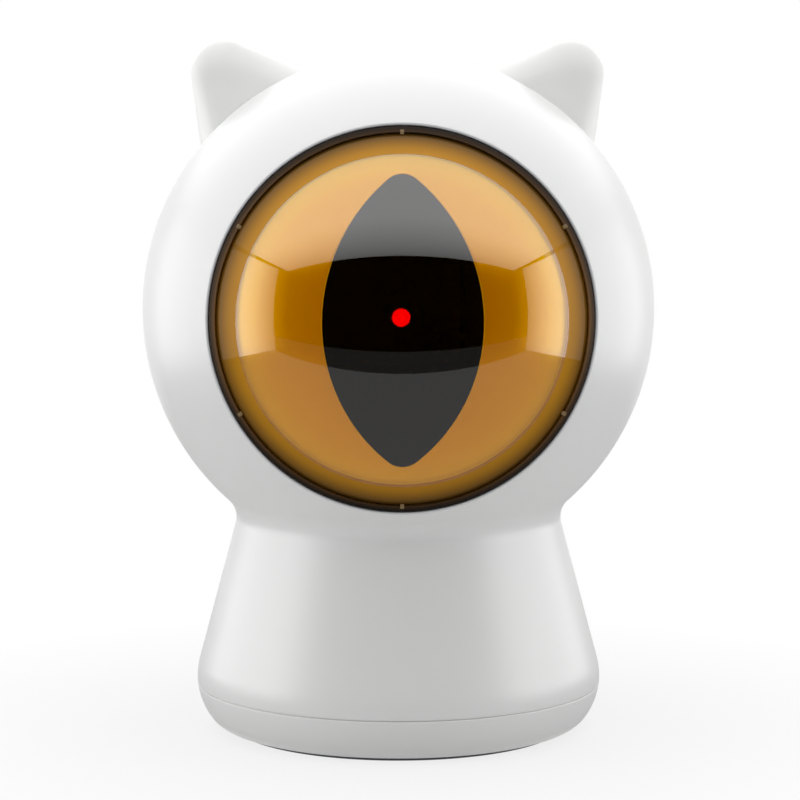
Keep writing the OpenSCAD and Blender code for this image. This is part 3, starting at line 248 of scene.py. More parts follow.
def outline(inset, from_z=None):
    """The housing's outer line, drawn in by an inset, from the underside or a height up to the top."""
    toward_head = Vector((0, HEAD_H)) - neck_c
    touch = degrees(atan2(toward_head.y, toward_head.x))
    under = degrees(atan2(edge_c.y - bulge_c.y, edge_c.x - bulge_c.x))
    if from_z is None:
        points, start = [(0, STAND + inset)] + arc(edge_c, EDGE_R - inset, -90, under, 10), under
    else:
        points, start = [], degrees(asin((from_z - bulge_c.y) / (BULGE_R - inset)))
    points += arc(bulge_c, BULGE_R - inset, start, LEAN, 16)
    top, foot = neck_c - lean_dir * (NECK_R + inset), bulge_c + lean_dir * (BULGE_R - inset)
    points += [tuple(foot.lerp(top, i / 12)) for i in range(1, 12)]
    points += arc(neck_c, NECK_R + inset, 180 + LEAN, touch, 20)
    points += arc((0, HEAD_H), HEAD_R - inset, touch - 180, 90, 110)[1:]
    return points


def node_group(name, kind, inputs, outputs):
    """A node group with inputs and outputs as (name, kind, own value), and its input sockets."""
    group = bpy.data.node_groups.new(name, kind)
    for way, rows in (("INPUT", inputs), ("OUTPUT", outputs)):
        for label, socket_kind, *own in rows:
            socket = group.interface.new_socket(label, in_out=way, socket_type="NodeSocket" + socket_kind)
            if own:
                socket.default_value = own[0]
    return group, group.nodes.new("NodeGroupInput").outputs


def end_group(tree, geometry, material):
    """Makes a piece's copies real, gives them their material, and puts them out."""
    real = made(tree, "GeometryNodeRealizeInstances", {"Geometry": geometry})
    done = add(tree, "GeometryNodeSetMaterial", {"Geometry": real, "Material": material})
    add(tree, "NodeGroupOutput", {0: done.outputs[0]})


# The lathe: every point of an outline is set round the axis by a grid
lathe, given = node_group(
    "lathe", "GeometryNodeTree",
    (("Outline", "Geometry"), ("Points", "Int"), ("Turns", "Int"), ("Material", "Material")),
    (("Turned", "Geometry"),))
at = made(lathe, "GeometryNodeInputPosition")
more = maths(lathe, "ADD", given["Turns"], 1)
size = {"Size X": 1, "Size Y": 1, "Vertices X": more, "Vertices Y": given["Points"]}
grid = made(lathe, "GeometryNodeMeshGrid", size)
apart = add(lathe, "SeparateXYZ", {0: at}).outputs
last = maths(lathe, "SUBTRACT", given["Points"], 1)
row = maths(lathe, "ROUND", maths(lathe, "MULTIPLY", maths(lathe, "ADD", apart["Y"], 0.5), last))
turn = maths(lathe, "MULTIPLY", apart["X"], 2 * pi)
point = add(lathe, "GeometryNodeSampleIndex", {"Geometry": given["Outline"], "Value": at, "Index": row},
            data_type="FLOAT_VECTOR").outputs["Value"]
point = made(lathe, "VectorRotate", {"Vector": point, "Angle": turn}, rotation_type="Z_AXIS")
placed = made(lathe, "GeometryNodeSetPosition", {"Geometry": grid, "Position": point})
closed = made(lathe, "GeometryNodeMergeByDistance", {"Geometry": placed, "Distance": 1e-6})
end_group(lathe, closed, given["Material"])


def plain(thing):
    """The object with its modifiers turned to a plain mesh."""
    bpy.context.view_layer.update()
    mesh = bpy.data.meshes.new_from_object(thing.evaluated_get(bpy.context.evaluated_depsgraph_get()))
    thing.modifiers.clear()
    thing.data = mesh
    return thing


def tidy_faces(thing, sharp=30):
    """Doubles merged, faces outwards, smooth but for edges sharper than an angle."""
    shape = bmesh.new()
    shape.from_mesh(thing.data)
    bmesh.ops.remove_doubles(shape, verts=shape.verts, dist=2e-7)
    bmesh.ops.dissolve_degenerate(shape, edges=shape.edges, dist=1e-7)
    bmesh.ops.recalc_face_normals(shape, faces=shape.faces)
    shape.to_mesh(thing.data)
    shape.free()
    thing.data.shade_smooth()
    thing.data.set_sharp_from_angle(angle=radians(sharp))
    return thing


def new_object(name, points=(), faces=()):
    """An object from points in millimetres."""
    mesh = bpy.data.meshes.new(name)
    mesh.from_pydata([(x / 1000, y / 1000, z / 1000) for x, y, z in points], [], faces)
    return in_scene(name, mesh)


def paint_all(thing, material):
    """Gives a whole piece one material."""
    thing.data.materials.clear()
    thing.data.materials.append(material)
    return thing


def grown(name, group, points, values, sharp=30):
    """A piece that a node group makes from points in millimetres, with its inputs set by identifier."""
    thing = new_object(name, points)
    modifier = thing.modifiers.new(group.name, "NODES")
    modifier.node_group = group
    for item in group.interface.items_tree:
        if item.in_out == "INPUT" and item.name in values:
            modifier[item.identifier] = values[item.name]
    return tidy_faces(plain(thing), sharp)


def turned(name, points, material=None, turns=192, loop=True):
    """A piece turned on the lathe from an outline in millimetres, closed on itself or else on the axis."""
    points = [(r, 0, z) for r, z in list(points) + ([points[0]] if loop else [])]
    return grown(name, lathe, points, {"Points": len(points), "Turns": turns, "Material": material})


def solid(points, turns=64):
    """A turned shape that meets the axis at both ends, to cut with."""
    return turned("cutter", points, turns=turns, loop=False)


def cut(thing, other, operation="DIFFERENCE"):
    """An exact boolean with another object, which is used up."""
    modifier = thing.modifiers.new("cut", "BOOLEAN")
    modifier.operation, modifier.object, modifier.solver = operation, other, "EXACT"
    plain(thing)
    bpy.data.objects.remove(other)
    return thing


def box(low, high):
    """A block between two corners, in millimetres."""
    x, y, z = zip(low, high)
    faces = [(0, 1, 3, 2), (4, 6, 7, 5), (0, 4, 5, 1), (2, 3, 7, 6), (0, 2, 6, 4), (1, 5, 7, 3)]
    return new_object("cutter", [(a, b, c) for a in x for b in y for c in z], faces)


def slab(y0, y1):
    """A block as wide and as high as the toy between two places along Y, to cut with."""
    return box((-60, y0, -5), (60, y1, 120))


def moved(thing, x=0, y=0, z=0, turn=0, axis="X"):
    """Turns an object's mesh about an axis by an angle in degrees, and then shifts it in millimetres."""
    shift = Matrix.Translation((x / 1000, y / 1000, z / 1000))
    thing.data.transform(shift @ Matrix.Rotation(radians(turn), 4, axis))
    return thing


def face_front(thing):
    """Lays a turned piece so that its axis is the eye's."""
    return moved(thing, z=HEAD_H, turn=90)


def joined(*things):
    """One object of several, whose faces keep their materials."""
    shape, materials = bmesh.new(), []
    for thing in things:
        start = len(shape.faces)
        shape.from_mesh(thing.data)
        shape.faces.ensure_lookup_table()
        for face in shape.faces[start:]:
            material = thing.data.materials[face.material_index]
            if material not in materials:
                materials.append(material)
            face.material_index = materials.index(material)
    first = things[0]
    first.data.materials.clear()
    shape.to_mesh(first.data)
    shape.free()
    for material in materials:
        first.data.materials.append(material)
    for thing in things[1:]:
        bpy.data.objects.remove(thing)
    return first


def scaled(tree, colour, factor):
    """A colour made lighter or darker."""
    return made(tree, "VectorMath", {0: colour, "Scale": factor}, operation="SCALE")


def bumped(tree, strength, distance, height):
    return made(tree, "Bump", {"Strength": strength, "Distance": distance, "Height": height})


# The skin of a moulding: a faint cloudiness in its tone and gloss, and the fine texture of the mould
SKIN = (("Colour", "Color"), ("Roughness", "Float"), ("Normal", "Vector"))
moulded, given = node_group(
    "moulded_skin", "ShaderNodeTree",
    (("Tone", "Color", (0.8, 0.8, 0.8, 1)), ("Cloud", "Float", 0.02), ("Gloss", "Float", 0.35),
     ("Gloss spread", "Float", 0.04), ("Texture size", "Float", 0.0006), ("Texture depth", "Float", 0.02)), SKIN)
place = place_on(moulded)
clouds = maths(moulded, "MULTIPLY", noise(moulded, place, 55, 3), given["Cloud"])
colour = scaled(moulded, given["Tone"], maths(moulded, "SUBTRACT", 1, clouds))
swing = maths(moulded, "SUBTRACT", noise(moulded, place, 240), 0.5)
gloss = maths(moulded, "MULTIPLY_ADD", swing, given["Gloss spread"], given["Gloss"])
grain = noise(moulded, place, maths(moulded, "DIVIDE", 1, given["Texture size"]), 1)
bump = bumped(moulded, given["Texture depth"], 0.0002, grain)
add(moulded, "NodeGroupOutput", {"Colour": colour, "Roughness": gloss, "Normal": bump})


def skinned(name, group, values, fixed):
    """A material with a group's skin, and the shader's own plain values by socket name."""
    material, tree = new_material(name)
    skin = add(tree, "Group", values, node_tree=group).outputs
    surface(tree, "BsdfPrincipled", {
        "Base Color": skin["Colour"], "Roughness": skin["Roughness"], "Normal": skin["Normal"], **fixed})
    return material


def moulding(name, tone, gloss, cloud=0.02, texture=0.0006, depth=0.02, **fixed):
    """A moulded plastic or rubber of a screen colour."""
    values = {"Tone": linear(*tone), "Cloud": cloud, "Gloss": gloss, "Texture size": texture, "Texture depth": depth}
    return skinned(name, moulded, values, {key.replace("_", " "): value for key, value in fixed.items()})


shell_white = moulding("shell_white", (240, 240, 238), 0.33, cloud=0.012, depth=0.015, Specular_IOR_Level=0.7)

seam_z = SEAM_H + SEAM_GAP / 2
shell_line = outline(0, seam_z) + outline(WALL, seam_z)[::-1]
LIP_UP, LIP_OUT, LIP_IN, LIP_FRONT, LIP_BACK = 2.0, WALL + 0.1, WALL + 1.1, SPLIT_Y - 1.5, SPLIT_Y + 1.6
lip_line = outline(LIP_OUT, seam_z + LIP_UP) + outline(LIP_IN, seam_z + LIP_UP)[::-1]

# Front: the half before the seam, with the eye's opening, its softened edge and the eye's seat
front = turned("front_shell_skin", shell_line, shell_white, turns=256)
cut(front, slab(SPLIT_Y - SEAM_GAP / 2, 60))
soft_r = EYE_R + EYE_SOFT
soft_y = sqrt((HEAD_R - EYE_SOFT) ** 2 - soft_r ** 2)
touch = degrees(atan2(soft_y, soft_r))
opening = [(0, 60), (60 * cos(radians(touch)), 60 * sin(radians(touch)))]
opening += arc((soft_r, soft_y), EYE_SOFT, touch, 180, 8) + [(EYE_R, 20), (0, 20)]
cut(front, face_front(solid(opening, 256)))
seat_y = sqrt((HEAD_R - WALL) ** 2 - (EYE_R + 2) ** 2)
seat = [(EYE_R, seat_y + 2.5), (EYE_R + 2.6, seat_y + 1.2), (EYE_R + 2.6, seat_y), (EYE_R, seat_y)]
front = joined(tidy_faces(front), face_front(turned("eye_seat", seat, shell_white)))
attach(front, "body")
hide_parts("front_shell")

# Rear: the half behind the seam, with its lip, screw wells, button and light holes, and socket recess
BUTTON_H, BUTTON_R, PIPE_H, PIPE_R = 60.0, 4.5, 74.0, 1.2
SOCKET_H, RECESS, SOCKET_HOLE = 15.0, (12.6, 6.6), (9.3, 3.6)
WELL_R, WELL_Y, TUBE_R, TUBE_BORE, SHANK_R = 2.3, 6.0, 3.3, 2.31, 1.2
BEHIND = 50
side_posts = [(side * x, z) for side in (-1, 1) for x, z in ((BASE_R - 6.75, 15), (HEAD_R - 6.6, HEAD_H))]


def rod(x, z, radius, y0, y1=BEHIND):
    """A round bar along Y, to cut with."""
    return tidy_faces(moved(solid([(0, y0), (radius, y0), (radius, y1), (0, y1)]), x, z=z, turn=-90))


def flat_rod(width, height, y0):
    """A round-ended bar along Y from the socket out behind the toy, to cut with."""
    half, r = (width - height) / 2, height / 2
    ends = arc((half, 0), r, -90, 90, 16) + arc((-half, 0), r, 90, 270, 16)
    count = len(ends)
    faces = [range(count), range(2 * count - 1, count - 1, -1)]
    faces += [(i, count + i, count + (i + 1) % count, (i + 1) % count) for i in range(count)]
    return tidy_faces(new_object("cutter", [(x, y, SOCKET_H + z) for y in (y0, BEHIND) for x, z in ends], faces))


rear = turned("rear_shell_skin", shell_line, shell_white, turns=256)
cut(rear, slab(-60, SPLIT_Y + SEAM_GAP / 2))
for x, z in side_posts:
    cut(rear, rod(x, z, WELL_R, WELL_Y))
cut(rear, rod(0, BUTTON_H, BUTTON_R + 0.12, 30))
cut(rear, rod(0, PIPE_H, PIPE_R + 0.08, 30))
wall_at_socket = (wall_line - SOCKET_H * lean_dir.y) / lean_dir.x
cut(rear, flat_rod(*RECESS, wall_at_socket - 1))
cut(rear, flat_rod(*SOCKET_HOLE, 18))
lip = turned("lip", lip_line, shell_white)
cut(lip, slab(LIP_FRONT, LIP_BACK), "INTERSECT")
wells = []
for x, z in side_posts:
    # Each well is a tube from the wall to the web that the screw's head draws on
    well = cut(rod(x, z, TUBE_R, WELL_Y - 0.4), solid(outline(0.9), 128), "INTERSECT")
    cut(well, rod(x, z, TUBE_BORE, WELL_Y - 0.05))
    cut(well, rod(x, z, SHANK_R, 5, 7))
    wells.append(tidy_faces(paint_all(well, shell_white)))
rear = joined(tidy_faces(rear), tidy_faces(lip), *wells)
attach(rear, "body")
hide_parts("rear_shell")

# ---- Ears ----
# Two solid moulded ears, deep at the root and thin at the rounded tip, each held by a peg in the
# rear shell. Their foot follows the head, and their plastic is a little duller than the shells'.

EAR_ANGLE, EAR_RISE, EAR_TIP_R, EAR_ROOT_R = 36.0, 11.2, 5.35, 3.95
EAR_ROOT_W, EAR_TIP_T, EAR_ROOT_T = 14.0, 4.55, 9.9
EAR_Y, TIP_FORWARD, TIP_OUT, TIP_BELOW, ROOT_BELOW = SPLIT_Y + 5.4, 2.7, 0.4, 5.4, 3.0
EAR_VOXEL = 0.00022
ear_white = moulding("ear_white", (250, 250, 247), 0.4, cloud=0.015, Specular_IOR_Level=0.7)


def ear(name, side):
    """A rounded skin drawn over three flat pebbles, smoothed, and cut to sit on the head."""
    shape = bmesh.new()
    pebbles = [((side * TIP_OUT, -TIP_FORWARD, HEAD_R + EAR_RISE - TIP_BELOW), EAR_TIP_R, EAR_TIP_T)]
    pebbles += [((end * EAR_ROOT_W / 2, 0, HEAD_R - ROOT_BELOW), EAR_ROOT_R, EAR_ROOT_T) for end in (-1, 1)]
    for centre, radius, thick in pebbles:
        place = Matrix.Translation(centre) @ Matrix.Diagonal((radius, thick / 2, radius, 1))
        bmesh.ops.create_icosphere(shape, subdivisions=5, radius=1, matrix=place)
    hull = bmesh.ops.convex_hull(shape, input=shape.verts)
    inside = [v for v in hull["geom_interior"] if isinstance(v, bmesh.types.BMVert)]
    bmesh.ops.delete(shape, geom=inside, context="VERTS")
    turn = Matrix.Translation((0, EAR_Y, HEAD_H)) @ Matrix.Rotation(radians(side * EAR_ANGLE), 4, "Y")
    bmesh.ops.transform(shape, matrix=Matrix.Scale(0.001, 4) @ turn, verts=shape.verts)
    thing = new_object(name)
    shape.to_mesh(thing.data)
    shape.free()
    skin = thing.modifiers.new("skin", "REMESH")
    skin.mode, skin.voxel_size = "VOXEL", EAR_VOXEL
    plain(thing)
    even = thing.modifiers.new("even", "SMOOTH")
    even.factor, even.iterations = 0.5, 12
    plain(thing)
    head = solid(arc((0, HEAD_H), HEAD_R + 0.05, -90, 90, 144), 288)
    return tidy_faces(paint_all(cut(thing, head), ear_white))


for name, side in (("left_ear", -1), ("right_ear", 1)):
    one = ear(name + "_skin", side)
    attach(one, "body")
    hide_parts(name)

# ---- Screws of the housing ----
# Four zinc-plated pan-head screws that draw the two shells together, deep in wells at the back.
# Each stops at its own angle when it is tight.

# The skin of a bare metal: stains in its tone, and the marks that its making left in its gloss
plated, given = node_group(
    "bare_metal", "ShaderNodeTree",
    (("Tone", "Color", (0.5, 0.5, 0.5, 1)), ("Gloss", "Float", 0.3), ("Marks", "Float", 0.12),
     ("Mark size", "Float", 0.0008), ("Draw", "Vector", (1, 1, 1)), ("Depth", "Float", 0.1)), SKIN)
place = place_on(plated)
drawn = made(plated, "VectorMath", {0: place, 1: given["Draw"]}, operation="MULTIPLY")
marks = noise(plated, drawn, maths(plated, "DIVIDE", 1, given["Mark size"]), 4)
swing = maths(plated, "SUBTRACT", marks, 0.5)
gloss = maths(plated, "MULTIPLY_ADD", swing, given["Marks"], given["Gloss"])
shade = maths(plated, "MULTIPLY_ADD", noise(plated, place, 180, 3), -0.18, 1.05)
bump = bumped(plated, given["Depth"], 0.0001, marks)
add(plated, "NodeGroupOutput", {"Colour": scaled(plated, given["Tone"], shade), "Roughness": gloss, "Normal": bump})


def metal(name, tone, gloss, marks=0.12, size=0.0008, draw=(1, 1, 1), depth=0.1):
    """A bare metal of a screen colour, whose marks may be drawn out along an axis."""
    values = {"Tone": linear(*tone), "Gloss": gloss, "Marks": marks, "Mark size": size, "Draw": draw, "Depth": depth}
    return skinned(name, plated, values, {"Metallic": 1})


screw_steel = metal("screw_steel", (196, 198, 200), 0.32)

# The screw: its outline is turned on the lathe, a cross is cut in its head, and it is set at each place
screws, given = node_group(
    "set_screws", "GeometryNodeTree",
    (("Places", "Geometry"), ("Outline", "Object"), ("Points", "Int"), ("Cross", "Vector"), ("Head height", "Float"),
     ("Lean", "Vector"), ("Seed", "Int"), ("Material", "Material")), (("Screws", "Geometry"),))
line = add(screws, "GeometryNodeObjectInfo", {"Object": given["Outline"]}).outputs["Geometry"]
body = made(screws, "GeometryNodeGroup", {
    "Outline": line, "Points": given["Points"], "Turns": 40, "Material": given["Material"]}, node_tree=lathe)
bars = add(screws, "GeometryNodeJoinGeometry")
lift = made(screws, "CombineXYZ", {"Z": given["Head height"]})
for quarter in (0, pi / 2):
    bar = made(screws, "GeometryNodeMeshCube", {"Size": given["Cross"]})
    bar = made(screws, "GeometryNodeTransform", {"Geometry": bar, "Translation": lift, "Rotation": (0, 0, quarter)})
    screws.links.new(bar, bars.inputs[0])
crossed = made(screws, "GeometryNodeMeshBoolean", {"Mesh 1": body, "Mesh 2": bars.outputs[0]}, operation="DIFFERENCE")
row = made(screws, "GeometryNodeInstanceOnPoints", {
    "Points": given["Places"], "Instance": crossed, "Rotation": given["Lean"]})
spin = made(screws, "FunctionNodeRandomValue", {"Min": (0, 0, 0), "Max": (0, 0, 2 * pi), "Seed": given["Seed"]},
            data_type="FLOAT_VECTOR")
spun = made(screws, "GeometryNodeRotateInstances", {"Instances": row, "Rotation": spin})
end_group(screws, spun, given["Material"])

SHANK, HEAD, HEAD_T = 1.1, 2.0, 1.6


def set_screws(name, places, lean, length, seed):
    """Screws with their heads' undersides at places in millimetres, leaning so that the heads face outwards."""
    line = [(0, -length), (SHANK * 0.4, -length), (SHANK, SHANK - length), (SHANK, 0), (HEAD, 0)]
    for i in range(8):
        t = pi / 2 * i / 8
        line.append((HEAD * cos(t), HEAD_T * (0.35 + 0.65 * sin(t))))
    line.append((0, HEAD_T))
    profile = new_object("profile", [(r, 0, z) for r, z in line])
    cross = (HEAD * 1.25 / 1000, HEAD * 0.25 / 1000, HEAD_T * 1.1 / 1000)
    thing = grown(name, screws, places, {
        "Outline": profile, "Points": len(line), "Cross": cross, "Head height": HEAD_T / 1000, "Lean": lean,
        "Seed": seed, "Material": screw_steel}, 35)
    bpy.data.objects.remove(profile)
    return thing


housing_set = set_screws("housing_screw_set", [(x, WELL_Y, z) for x, z in side_posts], (-pi / 2, 0, 0), 8, 3)
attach(housing_set, "body")
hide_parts("housing_screws")

# ---- Base cap ----
# White moulding that closes the base from below the seam, with a groove for the foot ring, four
# screw wells, and a round seat for the battery door. Its lip stands up inside the shells.

DOOR_R, LEDGE_Z, LEDGE_T, HUB_R = 15.0, 2.05, 0.8, 12.9
FOOT_OUT_R = edge_c.x - 0.35
FOOT_IN_R = FOOT_OUT_R - 2.5
POST_AT, POST_Z = FOOT_IN_R - 2 - 1.4, 2.4
soft = 0.12
cap_top = SEAM_H - SEAM_GAP / 2
r_top = bulge_c.x + sqrt(BULGE_R ** 2 - (cap_top - bulge_c.y) ** 2)
lip_r = r_top - WALL - 0.1
# A step just under the shells' edge keeps the seam shallow
step_r, step_top = r_top - 0.3, cap_top + SEAM_GAP - 0.02
door_seat_r, hub_seat_r, boss_r = DOOR_R + 0.1, HUB_R + 0.1, DOOR_R + 1.6
groove_in, groove_out = FOOT_IN_R - 0.1, FOOT_OUT_R + 0.1
cap = [(hub_seat_r, LEDGE_Z), (door_seat_r, LEDGE_Z), (door_seat_r, STAND + soft), (door_seat_r + soft, STAND)]
cap += [(groove_in - soft, STAND), (groove_in, STAND + soft), (groove_in, STAND + 0.5), (groove_out, STAND + 0.5),
        (groove_out, STAND)]
cap += [p for p in outline(0) if p[1] < cap_top - soft and p[0] > FOOT_OUT_R]
cap += [(r_top - 0.035, cap_top - soft), (r_top - soft, cap_top), (step_r, cap_top), (step_r, step_top),
        (lip_r, step_top), (lip_r, cap_top + 1.5), (lip_r - 1, cap_top + 1.5), (lip_r - 1, cap_top - 2)]
cap += [p for p in outline(WALL) if p[0] > boss_r and p[1] < cap_top - 2][::-1]
cap += [(boss_r, STAND + WALL), (boss_r, LEDGE_Z + LEDGE_T), (hub_seat_r, LEDGE_Z + LEDGE_T)]
base = turned("base_cap_skin", cap, shell_white, turns=256)
post_turns = [radians(45 + 90 * k) for k in range(4)]
cap_posts = [(POST_AT * cos(t), POST_AT * sin(t), POST_Z) for t in post_turns]
for x, y, z in cap_posts:
    cut(base, tidy_faces(moved(solid([(0, -1), (WELL_R, -1), (WELL_R, POST_Z), (0, POST_Z)]), x, y)))
tidy_faces(base)
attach(base, "body")
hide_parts("base_cap")

# ---- Screws of the base cap ----
# Four more of the same screws, driven up from the underside.

base_set = set_screws("base_screw_set", cap_posts, (pi, 0, 0), 9, 8)
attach(base_set, "body")
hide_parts("base_screws")

# ---- Foot ring ----
# Soft grey rubber ring pressed into the groove, which lifts the base just off the table.

FOOT_TOP, FOOT_SOFT = 1.1, 0.4
foot_rubber = moulding("foot_rubber", (104, 106, 108), 0.75, cloud=0.12, texture=0.0004, depth=0.12)
foot = [(FOOT_IN_R, FOOT_TOP)] + arc((FOOT_IN_R + FOOT_SOFT, FOOT_SOFT), FOOT_SOFT, 180, 270, 5)
foot += arc((FOOT_OUT_R - FOOT_SOFT, FOOT_SOFT), FOOT_SOFT, -90, 0, 5) + [(FOOT_OUT_R, FOOT_TOP)]
foot = turned("foot_ring_skin", foot, foot_rubber, turns=256)
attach(foot, "body")
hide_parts("foot_ring")

# ---- Battery door, holder and cells ----
# The round door is moulded in the shells' white, with a slot for a coin and six grip dimples.
# Behind it sprung plates touch three cells, which stand in the tubes of a black holder.


def finish(material, *nodes):
    """Gives CAD nodes that keep their shape a material."""
    for name in nodes:
        paint_all(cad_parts[name], material)


def ramp(tree, value, low, high, stops, steps="LINEAR"):
    """A colour ramp over a range of a value; its stops are (value, screen colour), from low to high."""
    node = add(tree, "ValToRGB", {0: ranged(tree, value, low, high)})
    node.color_ramp.interpolation = steps
    elements = node.color_ramp.elements
    for i, (at, tone) in enumerate(stops):
        share = (at - low) / (high - low)
        stop = elements[i] if i < 2 else elements.new(share)
        stop.position, stop.color = share, linear(*tone)
    return node.outputs[0]


finish(moulding("door_white", (238, 238, 236), 0.4, cloud=0.015, depth=0.03), "battery_door")
finish(metal("contact_nickel", (205, 203, 196), 0.26, marks=0.1, size=0.0005),
       "door_contacts", "cell_contacts", "usb_socket")
finish(moulding("holder_black", (30, 30, 32), 0.5, cloud=0.25, texture=0.0003, depth=0.06),
       "battery_holder", "lens_retainer")

# The cells' sleeve: a grey-blue band with a pale ring, and bare metal at both ends
cell_wrap, tree = new_material("cell_wrap")
up = ranged(tree, along(tree, "Z"), 0.004, 0.049)
TIN, BARE, COVERED = (198, 198, 194), (255, 255, 255), (0, 0, 0)
bands = ((0, TIN), (0.03, (44, 74, 104)), (0.72, (214, 216, 216)), (0.75, (26, 44, 66)), (0.95, TIN))
bare = ramp(tree, up, 0, 1, ((0, BARE), (0.03, COVERED), (0.95, BARE)), "CONSTANT")
surface(tree, "BsdfPrincipled", {
    "Base Color": ramp(tree, up, 0, 1, bands, "CONSTANT"), "Metallic": bare, "Roughness": 0.28})
finish(cell_wrap, "aaa_cell_1", "aaa_cell_2", "aaa_cell_3")

# ---- Black ring ----
# Brown-black ring round the eye. Its face follows the head and its edges are softened; its flange
# is pressed on the seat behind the opening by the tabs of the lens.

BEZEL_IN, BEZEL_OUT, BEZEL_BALL, FLANGE_R = 27.3, 28.25, 39.85, EYE_R + 1.7
TAB_AT, CLAMP_AT, IRIS_BACK = seat_y - 0.6, seat_y - 2.2, seat_y - 3.2


def dome(ball_r, r, back=0.0):
    """A point of a dome round the head's centre, or a little behind it: (distance from the eye's axis, depth)."""
    return r, sqrt(ball_r ** 2 - r ** 2) - back


def dome_line(ball_r, r0, r1, steps):
    """Points along a dome from one distance to another."""
    return [dome(ball_r, r0 + (r1 - r0) * i / steps) for i in range(steps + 1)]


def eye_radius(tree):
    """How far a point of the eye is from the eye's axis, in metres."""
    flat = {"Vector": place_on(tree), "Location": (0, 0, -HEAD_H / 1000), "Scale": (1, 0, 1)}
    return length_of(tree, made(tree, "Mapping", flat))


def from_middle(tree):
    """How far above or below the eye's middle a point is, in metres."""
    return maths(tree, "ABSOLUTE", maths(tree, "SUBTRACT", along(tree, "Z"), HEAD_H / 1000))


bezel_black = moulding("bezel_black", (34, 23, 13), 0.5, cloud=0.5, texture=0.0008, Specular_IOR_Level=0.06)
tree = bezel_black.node_tree
skin = next(n for n in tree.nodes if n.type == "GROUP")
# Painted light: the inner edge is painted a brown glow, as if lit through, weakest at the top and the bottom
painted_edge_light = ramp(tree, eye_radius(tree), 0.0272, 0.0283,
             ((0.0272, (144, 106, 64)), (0.0276, (98, 72, 46)), (0.0283, (14, 10, 6))))
painted_edge_light = scaled(tree, painted_edge_light, ranged(tree, from_middle(tree), 0, 0.028, 1.1, 0.3))
tree.links.new(painted_edge_light, skin.inputs["Tone"])
line = [(BEZEL_IN, TAB_AT), dome(BEZEL_BALL, BEZEL_IN, 0.2), dome(BEZEL_BALL, BEZEL_IN + 0.04, 0.07)]
line += dome_line(BEZEL_BALL, BEZEL_IN + 0.12, BEZEL_OUT - 0.12, 4)
line += [dome(BEZEL_BALL, BEZEL_OUT - 0.04, 0.07), dome(BEZEL_BALL, BEZEL_OUT, 0.2)]
line += [(BEZEL_OUT, seat_y), (FLANGE_R, seat_y), (FLANGE_R, TAB_AT)]
bezel = face_front(turned("eye_bezel_ring", line, bezel_black, turns=256))
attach(bezel, "body")
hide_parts("eye_bezel")

# ---- Amber lens ----
# A clear amber dome, polished, over the whole eye. Its deep skirt is painted brown for the camera, with painted
# shade towards the ring, and six tabs behind it hold it under the clamp ring.

LENS_BALL, LENS_IN_BALL, LENS_R, LENS_IN_R = 39.4, 37.4, 27.25, 25.25
CLEAR_R, TABS, TAB_W = 0.0242, 6, 5.0


def either(tree, share, first, second):
    """One colour, the other, or a share of both."""
    return add(tree, "Mix", {0: share, 6: first, 7: second}, data_type="RGBA").outputs[2]


lens_amber, tree = new_material("lens_amber")
away = eye_radius(tree)
tint = either(tree, noise(tree, place_on(tree), 60), (0.97, 0.80, 0.10, 1), (0.95, 0.78, 0.11, 1))
# A painted highlight: the clear tint turns a fine pale line at the step on the front's edge
step = ranged(tree, away, CLEAR_R - 0.00022, CLEAR_R - 0.00012)
clear = made(tree, "BsdfTransparent", {"Color": either(tree, step, tint, (1, 0.92, 0.3, 1))})
# Painted shade: the skirt darkens towards the ring, sooner above and below than at the sides, and a little downwards
inwards = maths(tree, "ADD", away, ranged(tree, from_middle(tree), 0, 0.027, 0, 0.0004))
skirt = ramp(tree, inwards, 0.024, 0.0277,
             ((0.024, (214, 150, 28)), (0.0248, (206, 143, 29)), (0.0254, (194, 134, 29)), (0.0277, (56, 43, 26))))
painted_shade_downwards = ranged(tree, along(tree, "Z"), (HEAD_H - 27) / 1000, (HEAD_H + 27) / 1000, 0.75, 1.15)
skirt = made(tree, "BsdfPrincipled", {
    "Base Color": scaled(tree, skirt, painted_shade_downwards), "Roughness": 0.5, "Specular IOR Level": 0})
# Only camera rays see the painted skirt beyond the front's edge; all other rays pass it as clear amber
edge = ranged(tree, away, CLEAR_R - 0.00004, CLEAR_R + 0.00004)
looked_at = maths(tree, "MULTIPLY", edge, add(tree, "LightPath").outputs["Is Camera Ray"])
under = share_of(tree, looked_at, clear, skirt)
gloss = made(tree, "BsdfGlossy", {"Color": ranged(tree, edge, 0, 1, 1, 0.13), "Roughness": 0.02})
outside = maths(tree, "SUBTRACT", 1, add(tree, "NewGeometry").outputs["Backfacing"])
shine = maths(tree, "MULTIPLY", made(tree, "Fresnel", {"IOR": 1.8}), outside)
surface(tree, "MixShader", {0: shine, 1: under, 2: gloss})

line = dome_line(LENS_BALL, 0, LENS_R - 0.3, 64) + [dome(LENS_BALL, LENS_R - 0.12, 0.06)]
line += [(LENS_R - 0.03, dome(LENS_BALL, LENS_R, 0.13)[1]), dome(LENS_BALL, LENS_R, 0.3)]
line += [(LENS_R, CLAMP_AT), (LENS_IN_R, CLAMP_AT)] + dome_line(LENS_IN_BALL, LENS_IN_R, 0, 48)
lens = face_front(turned("eye_lens_dome", line, lens_amber, turns=256, loop=False))
tabs = []
for k in range(TABS):
    tab = box((LENS_R - 0.6, -TAB_AT, -TAB_W / 2), (EYE_R + 1.4, -CLAMP_AT, TAB_W / 2))
    tabs.append(tidy_faces(paint_all(moved(tab, z=HEAD_H, turn=360 / TABS * (k + 0.5), axis="Y"), lens_amber)))
lens = joined(lens, *tabs)
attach(lens, "body")
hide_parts("eye_lens")

